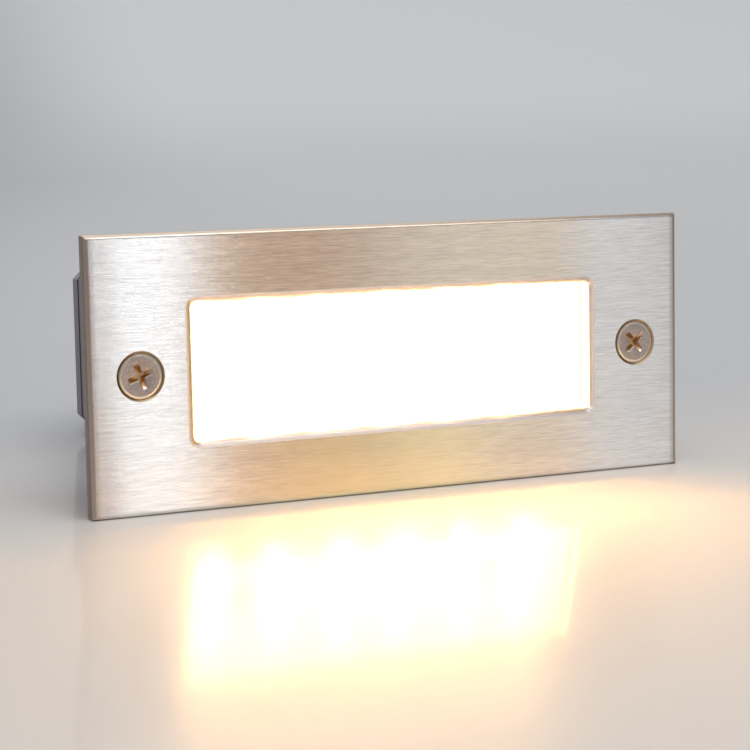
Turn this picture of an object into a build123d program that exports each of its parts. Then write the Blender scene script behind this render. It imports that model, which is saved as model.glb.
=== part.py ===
from build123d import *
import math
import os

os.makedirs("parts", exist_ok=True)

# A recessed step light: a steel faceplate with a lit window over a plastic housing sunk in the wall.
# Millimetres. X runs along the light, Z is up, and the room is on the -Y side.
# Depth is Y: 0 is the wall's surface, where the back of the wall gasket lies.

# Faceplate
window_width = 73.8
window_height = 22.2
plate_side_land = 18.1
plate_top_land = 11.4
plate_thickness = 2.0
plate_edge_radius = 0.8
window_corner_radius = 0.8
window_edge_radius = 1.2
window_edge_share = 0.9

# Front screws, M4 countersunk, and the cone washers under their heads
screw_end_inset = 8.85
countersink_radius = 4.02
plate_hole_radius = 2.15
seat_gap = 0.03
cone_washer_thickness = 0.16
cone_washer_below_face = 0.3
head_below_face = 0.05
head_face_radius = 3.3
head_rim_height = 0.11
screw_radius = 1.95
screw_length = 14.0
screw_tip_chamfer = 0.5
recess_reach = 2.2
recess_width = 0.95
recess_floor_reach = 1.1
recess_floor_width = 0.5
recess_depth = 1.3
left_recess_turn = 20.0
right_recess_turn = 42.0

# Wall gasket, and the seal and lens in the window
gasket_thickness = 1.2
gasket_inset = 1.5
gasket_lens_margin = 0.6
gasket_hole_radius = 2.4
seal_thickness = 0.5
seal_band = 1.4
lens_margin = 2.1
lens_thickness = 1.5
lens_step_clearance = 0.2
lens_below_face = 1.3
lens_seat_clearance = 0.3

# Housing
flange_inset = 3.0
flange_thickness = 3.0
flange_corner_radius = 2.0
tub_side_margin = 2.3
tub_top_margin = 3.4
tub_corner = 2.2
tub_wall = 1.6
light_chamber_depth = 11.6
partition_thickness = 1.6
slot_width = 4.0
slot_length = 7.0
slot_edge_inset = 6.5
ear_boss_radius = 4.2
ear_boss_depth = 13.0
ear_web_thickness = 2.0
insert_radius = 3.0
insert_bore_radius = 2.0
insert_length = 8.0
insert_below_face = 0.5
insert_groove_depth = 0.35
insert_groove_width = 1.0
tip_hole_radius = 2.3
tip_hole_depth = 11.5

# Light engine
inside_clearance = 0.2
reflector_floor = 0.8
reflector_mouth_side = 0.8
reflector_mouth_top = 1.8
reflector_floor_side = 1.6
reflector_floor_top = 2.8
lamp_columns = 6
lamp_end_inset = 5.8
lamp_row_inset = 4.9
lamp_size = 5.0
lamp_thickness = 1.6
lamp_corner_cut = 0.4
lamp_hole_clearance = 0.3
phosphor_radius = 1.9
phosphor_depth = 0.4
phosphor_clearance = 0.05
led_board_thickness = 1.6
pad_side_inset = 2.4
pad_top_inset = 1.7
pad_thickness = 0.8
spreader_thickness = 2.0
engine_screw_lamps = 2
engine_screw_radius = 1.45
engine_screw_length = 11.0
engine_hole_radius = 1.6
engine_head_radius = 2.6
engine_head_height = 1.8
engine_head_edge = 0.5
engine_tip_chamfer = 0.4
engine_slot_width = 0.7
engine_slot_depth = 0.8
engine_boss_radius = 2.8
engine_boss_length = 6.0
engine_pilot_radius = 1.5
grommet_bore_radius = 2.4
grommet_neck_radius = 3.2
grommet_flange_radius = 4.0
grommet_flange_thickness = 0.7
grommet_clearance = 0.1
spreader_hole_clearance = 0.4
lead_radius = 0.65
lead_hole_radius = 0.75
lead_spacing = 2.6
lead_rise = 6.0
lead_board_gap = 0.1
lead_first_run = 0.8
lead_slope_run = 4.8
lead_turn = 45.0
lead_bend_share = 0.45

# Driver board and its rails
board_front_gap = 1.8
board_length = 29.0
board_rear_gap = 4.0
board_thickness = 1.6
board_rise = 8.5
rail_thickness = 1.2
rail_reach = 1.6
rail_gap = 0.1
rail_rear_margin = 2.0

# Mains terminal: two cages, each drawn up by its screw against a fixed contact
terminal_inset = 11.6
pole_pitch = 5.08
terminal_depth = 8.2
terminal_height = 10.4
terminal_run = 28.6
terminal_floor = 0.8
terminal_rear_wall = 1.5
terminal_entry_width = 2.6
terminal_entry_height = 2.2
cage_width = 3.3
cage_depth = 4.4
cage_height = 4.6
cage_wall = 0.8
cage_side = 0.4
cage_gap = 0.3
cage_travel = 2.0
contact_thickness = 0.5
contact_gap = 0.25
contact_width = 1.8
contact_leg_width = 1.0
contact_leg_thickness = 0.6
contact_leg_gap = 0.2
contact_leg_below_board = 1.0
contact_hole_radius = 0.75
terminal_screw_radius = 1.0
terminal_thread_gap = 0.05
terminal_tip_gap = 0.15
terminal_head_radius = 1.5
terminal_head_height = 1.6
terminal_head_below = 0.3
terminal_head_gap = 0.1
terminal_slot_width = 0.5
terminal_slot_depth = 0.6

# Parts on the driver board: insets are from its left end, runs from its front edge, and heights stand on it
resistor_inset = 4.0
resistor_run = 12.0
resistor_length = 8.0
resistor_radius = 1.5
resistor_cap_radius = 1.7
resistor_cap_length = 1.6
resistor_lift = 0.5
resistor_leg_span = 11.0
wire_leg_radius = 0.35
wire_hole_gap = 0.05
leg_below_board = 1.0
varistor_inset = 10.9
varistor_run = 16.2
varistor_radius = 4.5
varistor_thickness = 3.4
varistor_edge = 1.0
varistor_lift = 1.2
varistor_leg_spacing = 5.0
film_inset = 20.9
film_run = 7.4
film_size = (9.0, 5.0, 8.6)
film_edge = 0.4
bridge_inset = 11.0
bridge_run = 9.2
bridge_size = (6.4, 4.6, 2.4)
bridge_edge = 0.3
input_inset = 22.4
input_run = 16.4
input_radius = 4.0
input_height = 12.0
output_x = 21.0
output_run = 17.0
output_radius = 3.15
output_height = 11.0
can_edge = 0.5
can_groove_height = 1.5
can_groove_radius = 0.35
chip_inset = 32.0
chip_run = 11.0
chip_size = (3.9, 4.9, 1.45)
chip_lift = 0.15
chip_leg_pitch = 1.27
chip_leg_count = 4
chip_leg_width = 0.4
chip_leg_thickness = 0.2
chip_leg_reach = 1.0
diode_x = 20.6
diode_run = 9.4
diode_size = (2.6, 4.3, 2.1)
diode_tab = (1.5, 1.2, 0.3)
transformer_x = 9.4
transformer_run = 14.0
core_width = 13.0
core_length = 12.0
core_thickness = 5.9
core_yoke = 2.0
core_outer_leg = 1.6
core_centre_leg = 3.0
core_rise = 6.4
bobbin_gap = 0.1
bobbin_wall = 0.6
bobbin_flange = 0.6
bobbin_height = 11.0
bobbin_foot_reach = 1.6
coil_side_gap = 0.2
coil_height = 10.0
coil_edge = 1.2

# Rear cover, its seal and screws
cover_seal_thickness = 0.8
cover_thickness = 3.0
cover_edge_chamfer = 0.5
boss_inset_x = 5.2
boss_inset_z = 4.9
boss_radius = 2.9
boss_length = 12.0
cover_pilot_radius = 1.25
cover_pilot_depth = 10.5
cover_screw_radius = 1.2
cover_screw_length = 12.0
cover_hole_radius = 1.5
cover_sink_radius = 2.7
cover_head_radius = 2.4
cover_head_below = 0.2
cover_tip_chamfer = 0.4
cover_slot_width = 0.6
cover_slot_depth = 0.6
tongue_end_gap = 5.1
tongue_thickness = 1.4
tongue_reach = 2.4
tongue_clearance = 0.3

# Cable gland, M12 x 1.5
gland_thread_radius = 5.95
gland_hole_radius = 6.1
gland_thread_length = 8.4
gland_flats = 15.0
gland_hex_length = 4.5
gland_washer_radius = 7.4
gland_washer_thickness = 1.0
gland_bore_radius = 3.9
gland_collar_radius = 6.0
gland_collar_length = 8.0
gland_mouth_radius = 4.9
gland_mouth_length = 7.0
gland_corner_chamfer = 0.5
nut_thickness = 4.0
nut_thread_gap = 0.05
gland_fit_gap = 0.1
gland_seal_bore_radius = 3.1
gland_seal_length = 4.0
clamp_bore_radius = 3.4
clamp_length = 5.4
clamp_gap = 0.3
clamp_slits = 6
clamp_slit_width = 0.8
clamp_slit_length = 3.0
cap_front_gap = 0.6
cap_thread_gap = 0.05
cap_thread_end_gap = 0.4
cap_throat_radius = 5.25
cap_end_thickness = 1.7
cap_mouth_radius = 3.5
cap_dome_radius = 1.4

# Worked out from the sizes above
plate_width = window_width + 2 * plate_side_land
plate_height = window_height + 2 * plate_top_land
screw_x = plate_width / 2 - screw_end_inset
flange_width = plate_width - 2 * flange_inset
flange_height = plate_height - 2 * flange_inset
tub_width = window_width + 2 * tub_side_margin
tub_height = window_height + 2 * tub_top_margin
slot_rise = flange_height / 2 - slot_edge_inset
plate_back = -gasket_thickness
plate_front = plate_back - plate_thickness
lens_front = plate_front + lens_below_face
lens_step = plate_back + seal_thickness
lens_back = lens_step + lens_thickness
lens_width = window_width + 2 * lens_margin
lens_height = window_height + 2 * lens_margin
mouth_depth = lens_back + lens_seat_clearance
partition_back = light_chamber_depth + partition_thickness
inside_width = tub_width - 2 * tub_wall
inside_height = tub_height - 2 * tub_wall
spreader_front = light_chamber_depth - spreader_thickness
pad_front = spreader_front - pad_thickness
led_board_front = pad_front - led_board_thickness
reflector_floor_front = led_board_front - reflector_floor
tray_width = inside_width - 2 * inside_clearance
tray_height = inside_height - 2 * inside_clearance
tray_floor_width = tray_width - 2 * reflector_floor_side
tray_floor_height = tray_height - 2 * reflector_floor_top
lamp_pitch = (tray_floor_width - 2 * lamp_end_inset) / (lamp_columns - 1)
lamp_row_rise = tray_floor_height / 2 - lamp_row_inset
engine_screw_x = engine_screw_lamps * lamp_pitch
board_top = board_rise - inside_height / 2
board_bottom = board_top - board_thickness
board_front = partition_back + board_front_gap
board_back = board_front + board_length
tub_depth = board_back + board_rear_gap
board_width = tray_width
board_end = -board_width / 2
terminal_x = board_end + terminal_inset
resistor_x = board_end + resistor_inset
varistor_x = board_end + varistor_inset
film_place = (board_end + film_inset, board_front + film_run)
bridge_place = (board_end + bridge_inset, board_front + bridge_run)
input_place = (board_end + input_inset, board_front + input_run)
chip_place = (board_end + chip_inset, board_front + chip_run)
resistor_depth = board_front + resistor_run
varistor_depth = board_front + varistor_run
output_place = (output_x, board_front + output_run)
diode_place = (diode_x, board_front + diode_run)
transformer_depth = board_front + transformer_run
transformer_place = (transformer_x, transformer_depth)
terminal_back = board_front + terminal_run
cover_front = tub_depth + cover_seal_thickness
cover_back = cover_front + cover_thickness
boss_x = tub_width / 2 - boss_inset_x
boss_z = tub_height / 2 - boss_inset_z
gland_seat = cover_back + gland_washer_thickness
collar_back = gland_seat + gland_hex_length + gland_collar_length
gland_fill_radius = gland_mouth_radius - gland_fit_gap
gland_seal_front = collar_back - gland_mouth_length
clamp_front = gland_seal_front + gland_seal_length + clamp_gap
clamp_back = clamp_front + clamp_length
cap_front = gland_seat + gland_hex_length + cap_front_gap
cap_back = clamp_back + clamp_gap + cap_end_thickness

front_screw_places = [(-screw_x, 0), (screw_x, 0)]
engine_screw_places = [(-engine_screw_x, 0), (engine_screw_x, 0)]
lead_places = [(-lead_spacing / 2, lead_rise), (lead_spacing / 2, lead_rise)]
slot_places = [(x * screw_x, z * slot_rise) for x in (-1, 1) for z in (-1, 1)]
corner_places = [(x * boss_x, z * boss_z) for x in (-1, 1) for z in (-1, 1)]
lamp_places = [
    (lamp_pitch * (column - (lamp_columns - 1) / 2), row * lamp_row_rise)
    for column in range(lamp_columns)
    for row in (-1, 1)
]
pole_xs = {"live": terminal_x - pole_pitch / 2, "neutral": terminal_x + pole_pitch / 2}


def facing(depth):
    # A sketch plane at that depth which looks out into the room: X to the right, Z up.
    return Plane.XZ.offset(-depth)


def over_board(height):
    # A sketch plane that lies over the driver board: X to the right, depth up the sketch.
    return Plane.XY.offset(board_top + height)


def spin(x, z, outline, mode=Mode.ADD):
    # A solid turned about the line through x and z that runs into the wall: points are radius, depth.
    with BuildSketch(Plane(origin=(x, 0, z))) as section:
        Polygon(*outline, align=None)
    revolve(section.sketch, axis=Axis((x, 0, z), (0, 1, 0)), mode=mode)


def tub_outline(inset, mode=Mode.ADD):
    # The housing's outline with its corners cut off, drawn in by inset all round.
    x = tub_width / 2 - inset
    z = tub_height / 2 - inset
    cut = tub_corner - inset * (2 - math.sqrt(2))
    corner = [(x - cut, z), (x, z - cut)]
    right = corner + [(px, -pz) for px, pz in reversed(corner)]
    left = [(-px, pz) for px, pz in reversed(right)]
    Polygon(*right, *left, align=None, mode=mode)


def corner_lands():
    # The corner bosses' outline, merged into the tub's walls and kept inside the tub's outline.
    for x, z in corner_places:
        middle_x = math.copysign(tub_width / 2 - boss_inset_x / 2, x)
        middle_z = math.copysign(tub_height / 2 - boss_inset_z / 2, z)
        with Locations((middle_x, middle_z)):
            Rectangle(boss_inset_x, boss_inset_z)
        with Locations((x, z)):
            Circle(boss_radius)
    tub_outline(0, mode=Mode.INTERSECT)


def round_holes(places, radius):
    with Locations(*places):
        Circle(radius, mode=Mode.SUBTRACT)


def save(built, name):
    built.part.label = name
    export_step(built.part, f"parts/{name}.step")


# Faceplate: brushed sheet, rounded rim, and a window with a rolled edge
with BuildPart() as faceplate:
    with BuildSketch(facing(plate_back)):
        Rectangle(plate_width, plate_height)
    extrude(amount=plate_thickness)
    fillet(faceplate.faces().sort_by(Axis.Y)[0].edges(), plate_edge_radius)
    with BuildSketch(facing(plate_back)):
        RectangleRounded(window_width, window_height, window_corner_radius)
    extrude(amount=plate_thickness, mode=Mode.SUBTRACT)
    window_edge = faceplate.faces().sort_by(Axis.Y)[0].inner_wires()[0].edges()
    fillet(window_edge, min(window_edge_radius, window_edge_share * plate_thickness))
    with Locations(facing(plate_front)):
        with Locations(*front_screw_places):
            CounterSinkHole(plate_hole_radius, countersink_radius, plate_thickness, 90)
save(faceplate, "faceplate")

# Wall gasket: closed-cell sheet between the faceplate, the flange and the wall
with BuildPart() as wall_gasket:
    with BuildSketch(facing(0)):
        Rectangle(plate_width - 2 * gasket_inset, plate_height - 2 * gasket_inset)
        Rectangle(
            lens_width + 2 * gasket_lens_margin,
            lens_height + 2 * gasket_lens_margin,
            mode=Mode.SUBTRACT,
        )
        round_holes(front_screw_places, gasket_hole_radius)
    extrude(amount=gasket_thickness)
save(wall_gasket, "wall_gasket")

# Lens seal: a frame bonded between the faceplate's back and the lens
with BuildPart() as lens_seal:
    with BuildSketch(facing(lens_step)):
        RectangleRounded(
            window_width + 2 * seal_band,
            window_height + 2 * seal_band,
            window_corner_radius,
        )
        RectangleRounded(
            window_width + 2 * lens_step_clearance,
            window_height + 2 * lens_step_clearance,
            window_corner_radius,
            mode=Mode.SUBTRACT,
        )
    extrude(amount=seal_thickness)
save(lens_seal, "lens_seal")

# Lens: a pane with a step that fills the window
with BuildPart() as lens:
    with BuildSketch(facing(lens_back)):
        RectangleRounded(lens_width, lens_height, window_corner_radius)
    extrude(amount=lens_thickness)
    with BuildSketch(facing(lens_step)):
        RectangleRounded(
            window_width - 2 * lens_step_clearance,
            window_height - 2 * lens_step_clearance,
            window_corner_radius - lens_step_clearance,
        )
    extrude(amount=lens_step - lens_front)
save(lens, "lens")


def cone_radius(below_face, gap):
    # The countersink's radius at that depth below the face, drawn in by a gap square to its wall.
    return countersink_radius - below_face - gap * math.sqrt(2)


def cone_outline(below_face, gap, radius):
    # Two points: where the drawn-in cone is below the face, and where it comes down to that radius.
    start = cone_radius(below_face, gap)
    return [(start, plate_front + below_face), (radius, plate_front + below_face + start - radius)]


def cross(reach, width, turn):
    Rectangle(2 * reach, width, rotation=turn)
    Rectangle(2 * reach, width, rotation=turn + 90)


# Front screws: countersunk head with a cross recess, each turned its own way
for side, x, turn in (("left", -screw_x, left_recess_turn), ("right", screw_x, right_recess_turn)):
    top = plate_front + head_below_face
    tip = top + screw_length
    head_gap = 2 * seat_gap + cone_washer_thickness
    shaft = [
        (screw_radius, tip - screw_tip_chamfer),
        (screw_radius - screw_tip_chamfer, tip),
        (0, tip),
    ]
    head = cone_outline(head_below_face + head_rim_height, head_gap, screw_radius)
    with BuildPart() as front_screw:
        spin(x, 0, [(0, top), (head_face_radius, top)] + head + shaft)
        with BuildSketch(facing(top)):
            with Locations((x, 0)):
                cross(recess_reach, recess_width, turn)
        with BuildSketch(facing(top + recess_depth)):
            with Locations((x, 0)):
                cross(recess_floor_reach, recess_floor_width, turn)
        loft(ruled=True, mode=Mode.SUBTRACT)
    save(front_screw, f"front_screw_{side}")

# Cone washers: thin sealing rings between each head and its countersink
for side, x in (("left", -screw_x), ("right", screw_x)):
    neck = plate_hole_radius + seat_gap
    outside = cone_outline(cone_washer_below_face, seat_gap, neck)
    inside = cone_outline(cone_washer_below_face, seat_gap + cone_washer_thickness, neck)
    with BuildPart() as cone_washer:
        spin(x, 0, outside + list(reversed(inside)))
    save(cone_washer, f"cone_washer_{side}")

# Threaded inserts: brass, set into the housing's ears, with a groove that keeps them in
insert_back = insert_below_face + insert_length
insert_groove_back = (insert_below_face + insert_back + insert_groove_width) / 2
with BuildPart() as threaded_inserts:
    with BuildSketch(facing(insert_back)):
        with Locations(*front_screw_places):
            Circle(insert_radius)
    extrude(amount=insert_length)
    with BuildSketch(facing(insert_groove_back)):
        with Locations(*front_screw_places):
            Circle(insert_radius)
        round_holes(front_screw_places, insert_radius - insert_groove_depth)
    extrude(amount=insert_groove_width, mode=Mode.SUBTRACT)
    with BuildSketch(facing(insert_back)):
        with Locations(*front_screw_places):
            Circle(insert_bore_radius)
    extrude(amount=insert_length, mode=Mode.SUBTRACT)
save(threaded_inserts, "threaded_inserts")

# Housing: flange and ears, and a tub with a wall across it between the light and its driver
web_length = screw_x - tub_width / 2
web_places = [(side * (screw_x - web_length / 2), 0) for side in (-1, 1)]
rail_places = [
    (side * (inside_width - rail_reach) / 2, height)
    for side in (-1, 1)
    for height in (
        board_top + rail_gap + rail_thickness / 2,
        board_bottom - rail_gap - rail_thickness / 2,
    )
]
with BuildPart() as housing:
    with BuildSketch(facing(flange_thickness)):
        RectangleRounded(flange_width, flange_height, flange_corner_radius)
    extrude(amount=flange_thickness)
    with BuildSketch(facing(tub_depth)):
        tub_outline(0)
    extrude(amount=tub_depth)
    with BuildSketch(facing(ear_boss_depth)):
        with Locations(*front_screw_places):
            Circle(ear_boss_radius)
        with Locations(*web_places):
            Rectangle(web_length, ear_web_thickness)
    extrude(amount=ear_boss_depth)
    with BuildSketch(facing(light_chamber_depth)):
        tub_outline(tub_wall)
    extrude(amount=light_chamber_depth, mode=Mode.SUBTRACT)
    with BuildSketch(facing(mouth_depth)):
        Rectangle(lens_width + 2 * lens_seat_clearance, lens_height + 2 * lens_seat_clearance)
    extrude(amount=mouth_depth, mode=Mode.SUBTRACT)
    with BuildSketch(facing(tub_depth)):
        tub_outline(tub_wall)
    extrude(amount=tub_depth - partition_back, mode=Mode.SUBTRACT)
    with BuildSketch(facing(partition_back + engine_boss_length)):
        with Locations(*engine_screw_places):
            Circle(engine_boss_radius)
    extrude(amount=engine_boss_length)
    with BuildSketch(facing(tub_depth - rail_rear_margin)):
        with Locations(*rail_places):
            Rectangle(rail_reach, rail_thickness)
    extrude(amount=tub_depth - rail_rear_margin - partition_back)
    with BuildSketch(facing(tub_depth)):
        corner_lands()
    extrude(amount=boss_length)
    with BuildSketch(facing(tub_depth)):
        with Locations(*corner_places):
            Circle(cover_pilot_radius)
    extrude(amount=cover_pilot_depth, mode=Mode.SUBTRACT)
    with BuildSketch(facing(partition_back + engine_boss_length)):
        with Locations(*engine_screw_places):
            Circle(engine_pilot_radius)
    extrude(amount=engine_boss_length + partition_thickness, mode=Mode.SUBTRACT)
    with BuildSketch(facing(partition_back)):
        with Locations((0, lead_rise)):
            Circle(grommet_neck_radius + grommet_clearance)
    extrude(amount=partition_thickness, mode=Mode.SUBTRACT)
    with BuildSketch(facing(insert_back)):
        with Locations(*front_screw_places):
            Circle(insert_radius)
    extrude(amount=insert_back, mode=Mode.SUBTRACT)
    with BuildSketch(facing(tip_hole_depth)):
        with Locations(*front_screw_places):
            Circle(tip_hole_radius)
    extrude(amount=tip_hole_depth - insert_back, mode=Mode.SUBTRACT)
    with BuildSketch(facing(flange_thickness)):
        with Locations(*slot_places):
            SlotOverall(slot_length, slot_width)
    extrude(amount=flange_thickness, mode=Mode.SUBTRACT)
save(housing, "housing")

# Reflector: white tray with sloping walls and a square hole for each LED
with BuildPart() as reflector:
    with BuildSketch(facing(led_board_front)):
        tub_outline(tub_wall + inside_clearance)
    extrude(amount=led_board_front - mouth_depth)
    with BuildSketch(facing(mouth_depth)):
        Rectangle(tray_width - 2 * reflector_mouth_side, tray_height - 2 * reflector_mouth_top)
    with BuildSketch(facing(reflector_floor_front)):
        Rectangle(tray_floor_width, tray_floor_height)
    loft(ruled=True, mode=Mode.SUBTRACT)
    with BuildSketch(facing(led_board_front)):
        with Locations(*lamp_places):
            Rectangle(lamp_size + 2 * lamp_hole_clearance, lamp_size + 2 * lamp_hole_clearance)
        with Locations(*engine_screw_places):
            Circle(engine_hole_radius)
    extrude(amount=reflector_floor, mode=Mode.SUBTRACT)
save(reflector, "reflector")

# LED board, with holes for its screws and for the two leads
with BuildPart() as led_board:
    with BuildSketch(facing(pad_front)):
        tub_outline(tub_wall + inside_clearance)
        round_holes(engine_screw_places, engine_hole_radius)
        round_holes(lead_places, lead_hole_radius)
    extrude(amount=led_board_thickness)
save(led_board, "led_board")

# LEDs: square packages with one cut corner and a round well for the phosphor
half_lamp = lamp_size / 2
with BuildPart() as leds:
    with BuildSketch(facing(led_board_front)):
        with Locations(*lamp_places):
            Polygon(
                (-half_lamp, -half_lamp),
                (half_lamp, -half_lamp),
                (half_lamp, half_lamp - lamp_corner_cut),
                (half_lamp - lamp_corner_cut, half_lamp),
                (-half_lamp, half_lamp),
                align=None,
            )
    extrude(amount=lamp_thickness)
    with BuildSketch(facing(led_board_front - lamp_thickness + phosphor_depth)):
        with Locations(*lamp_places):
            Circle(phosphor_radius + phosphor_clearance)
    extrude(amount=phosphor_depth, mode=Mode.SUBTRACT)
save(leds, "leds")

# LED phosphors: the yellow discs in the wells
with BuildPart() as led_phosphors:
    with BuildSketch(facing(led_board_front - lamp_thickness + phosphor_depth)):
        with Locations(*lamp_places):
            Circle(phosphor_radius)
    extrude(amount=phosphor_depth)
save(led_phosphors, "led_phosphors")

# Thermal pad between the LED board and the heat spreader
with BuildPart() as thermal_pad:
    with BuildSketch(facing(spreader_front)):
        Rectangle(tray_width - 2 * pad_side_inset, tray_height - 2 * pad_top_inset)
        round_holes(engine_screw_places, engine_hole_radius)
        round_holes([(0, lead_rise)], grommet_bore_radius)
    extrude(amount=pad_thickness)
save(thermal_pad, "thermal_pad")

# Heat spreader: aluminium plate against the wall across the housing
with BuildPart() as heat_spreader:
    with BuildSketch(facing(light_chamber_depth)):
        tub_outline(tub_wall + inside_clearance)
        round_holes(engine_screw_places, engine_hole_radius)
        round_holes([(0, lead_rise)], grommet_flange_radius + spreader_hole_clearance)
    extrude(amount=spreader_thickness)
save(heat_spreader, "heat_spreader")

# Light engine screws: slotted pan heads on the reflector's floor
engine_head_top = reflector_floor_front - engine_head_height
engine_tip = reflector_floor_front + engine_screw_length
with BuildPart() as light_engine_screws:
    for x, z in engine_screw_places:
        spin(
            x,
            z,
            [
                (0, engine_head_top),
                (engine_head_radius - engine_head_edge, engine_head_top),
                (engine_head_radius, engine_head_top + engine_head_edge),
                (engine_head_radius, reflector_floor_front),
                (engine_screw_radius, reflector_floor_front),
                (engine_screw_radius, engine_tip - engine_tip_chamfer),
                (engine_screw_radius - engine_tip_chamfer, engine_tip),
                (0, engine_tip),
            ],
        )
    with BuildSketch(facing(engine_head_top + engine_slot_depth)):
        with Locations(*engine_screw_places):
            Rectangle(2 * engine_head_radius, engine_slot_width)
    extrude(amount=engine_slot_depth, mode=Mode.SUBTRACT)
save(light_engine_screws, "light_engine_screws")

# Lead grommet: rubber bush in the wall across the housing
grommet_front = light_chamber_depth - grommet_flange_thickness
grommet_back = partition_back + grommet_flange_thickness
with BuildPart() as lead_grommet:
    spin(
        0,
        lead_rise,
        [
            (grommet_bore_radius, grommet_front),
            (grommet_flange_radius, grommet_front),
            (grommet_flange_radius, light_chamber_depth),
            (grommet_neck_radius, light_chamber_depth),
            (grommet_neck_radius, partition_back),
            (grommet_flange_radius, partition_back),
            (grommet_flange_radius, grommet_back),
            (grommet_bore_radius, grommet_back),
        ],
    )
save(lead_grommet, "lead_grommet")

# Leads: from the LED board through the grommet, then down to the driver board in two gentle bends
lead_first_turn = partition_back + lead_first_run
lead_depth = lead_first_turn + lead_slope_run
for pole, x in (("minus", -lead_spacing / 2), ("plus", lead_spacing / 2)):
    route = [
        (x, led_board_front + lead_board_gap, lead_rise),
        (x, lead_first_turn, lead_rise),
        (x, lead_depth, lead_rise - lead_slope_run),
        (x, lead_depth, board_top),
    ]
    runs = [math.dist(a, b) for a, b in zip(route, route[1:])]
    half_turn = math.radians(lead_turn / 2)
    bends = [lead_bend_share * min(pair) / math.tan(half_turn) for pair in zip(runs, runs[1:])]
    with BuildPart() as lead:
        with BuildLine() as lead_line:
            FilletPolyline(*route, radius=bends)
        with BuildSketch(facing(route[0][1])):
            with Locations((x, lead_rise)):
                Circle(lead_radius)
        sweep(path=lead_line.line)
    print(f"lead_{pole} bend radii", [round(bend, 2) for bend in bends])
    save(lead, f"lead_{pole}")

# Mains terminal, heights on the board
cage_bottom = terminal_floor + cage_gap
cage_top = cage_bottom + cage_height
contact_top = cage_top - cage_wall - contact_gap
chamber_top = cage_top + cage_travel + cage_gap
chamber_back = terminal_back - terminal_rear_wall
chamber_depth = cage_depth + 2 * cage_gap
chamber_front = chamber_back - chamber_depth
leg_back = chamber_front - contact_leg_gap
leg_depth = leg_back - contact_leg_thickness / 2
head_top = terminal_height - terminal_head_below
head_bottom = head_top - terminal_head_height
cage_depth_middle = (chamber_front + chamber_back) / 2
pole_places = [(x, cage_depth_middle) for x in pole_xs.values()]
leg_places = [(x, leg_depth) for x in pole_xs.values()]

with BuildPart() as terminal_block:
    with BuildSketch(over_board(0)):
        with Locations((terminal_x, terminal_back - terminal_depth / 2)):
            Rectangle(2 * pole_pitch, terminal_depth)
    extrude(amount=terminal_height)
    with BuildSketch(over_board(terminal_floor)):
        with Locations(*pole_places):
            Rectangle(cage_width + 2 * cage_gap, chamber_depth)
    extrude(amount=chamber_top - terminal_floor, mode=Mode.SUBTRACT)
    with BuildSketch(over_board(0)):
        with Locations(*leg_places):
            Rectangle(
                contact_leg_width + 2 * contact_leg_gap,
                contact_leg_thickness + 2 * contact_leg_gap,
            )
    extrude(amount=contact_top + contact_leg_gap, mode=Mode.SUBTRACT)
    with BuildSketch(over_board(contact_top - contact_thickness - contact_leg_gap)):
        with Locations(*leg_places):
            Rectangle(contact_width + 2 * contact_leg_gap, contact_leg_thickness + 2 * contact_leg_gap)
    extrude(amount=contact_thickness + 2 * contact_leg_gap, mode=Mode.SUBTRACT)
    with BuildSketch(over_board(head_bottom - terminal_head_gap)):
        with Locations(*pole_places):
            Circle(terminal_head_radius + terminal_head_gap)
    extrude(amount=terminal_height, mode=Mode.SUBTRACT)
    with BuildSketch(over_board(chamber_top)):
        with Locations(*pole_places):
            Circle(terminal_screw_radius + terminal_thread_gap)
    extrude(amount=head_bottom - chamber_top, mode=Mode.SUBTRACT)
    with BuildSketch(facing(terminal_back)):
        entry_middle = board_top + cage_bottom + cage_wall + terminal_entry_height / 2
        with Locations(*[(x, entry_middle) for x in pole_xs.values()]):
            Rectangle(terminal_entry_width, terminal_entry_height)
    extrude(amount=terminal_rear_wall, mode=Mode.SUBTRACT)
save(terminal_block, "terminal_block")

with BuildPart() as terminal_contacts:
    contact_end = chamber_back - contact_leg_gap
    contact_start = leg_back - contact_leg_thickness
    with BuildSketch(over_board(contact_top - contact_thickness)):
        with Locations(*[(x, (contact_start + contact_end) / 2) for x in pole_xs.values()]):
            Rectangle(contact_width, contact_end - contact_start)
    extrude(amount=contact_thickness)
    leg_drop = board_thickness + contact_leg_below_board
    with BuildSketch(over_board(-leg_drop)):
        with Locations(*leg_places):
            Rectangle(contact_leg_width, contact_leg_thickness)
    extrude(amount=leg_drop + contact_top)
save(terminal_contacts, "terminal_contacts")

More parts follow.
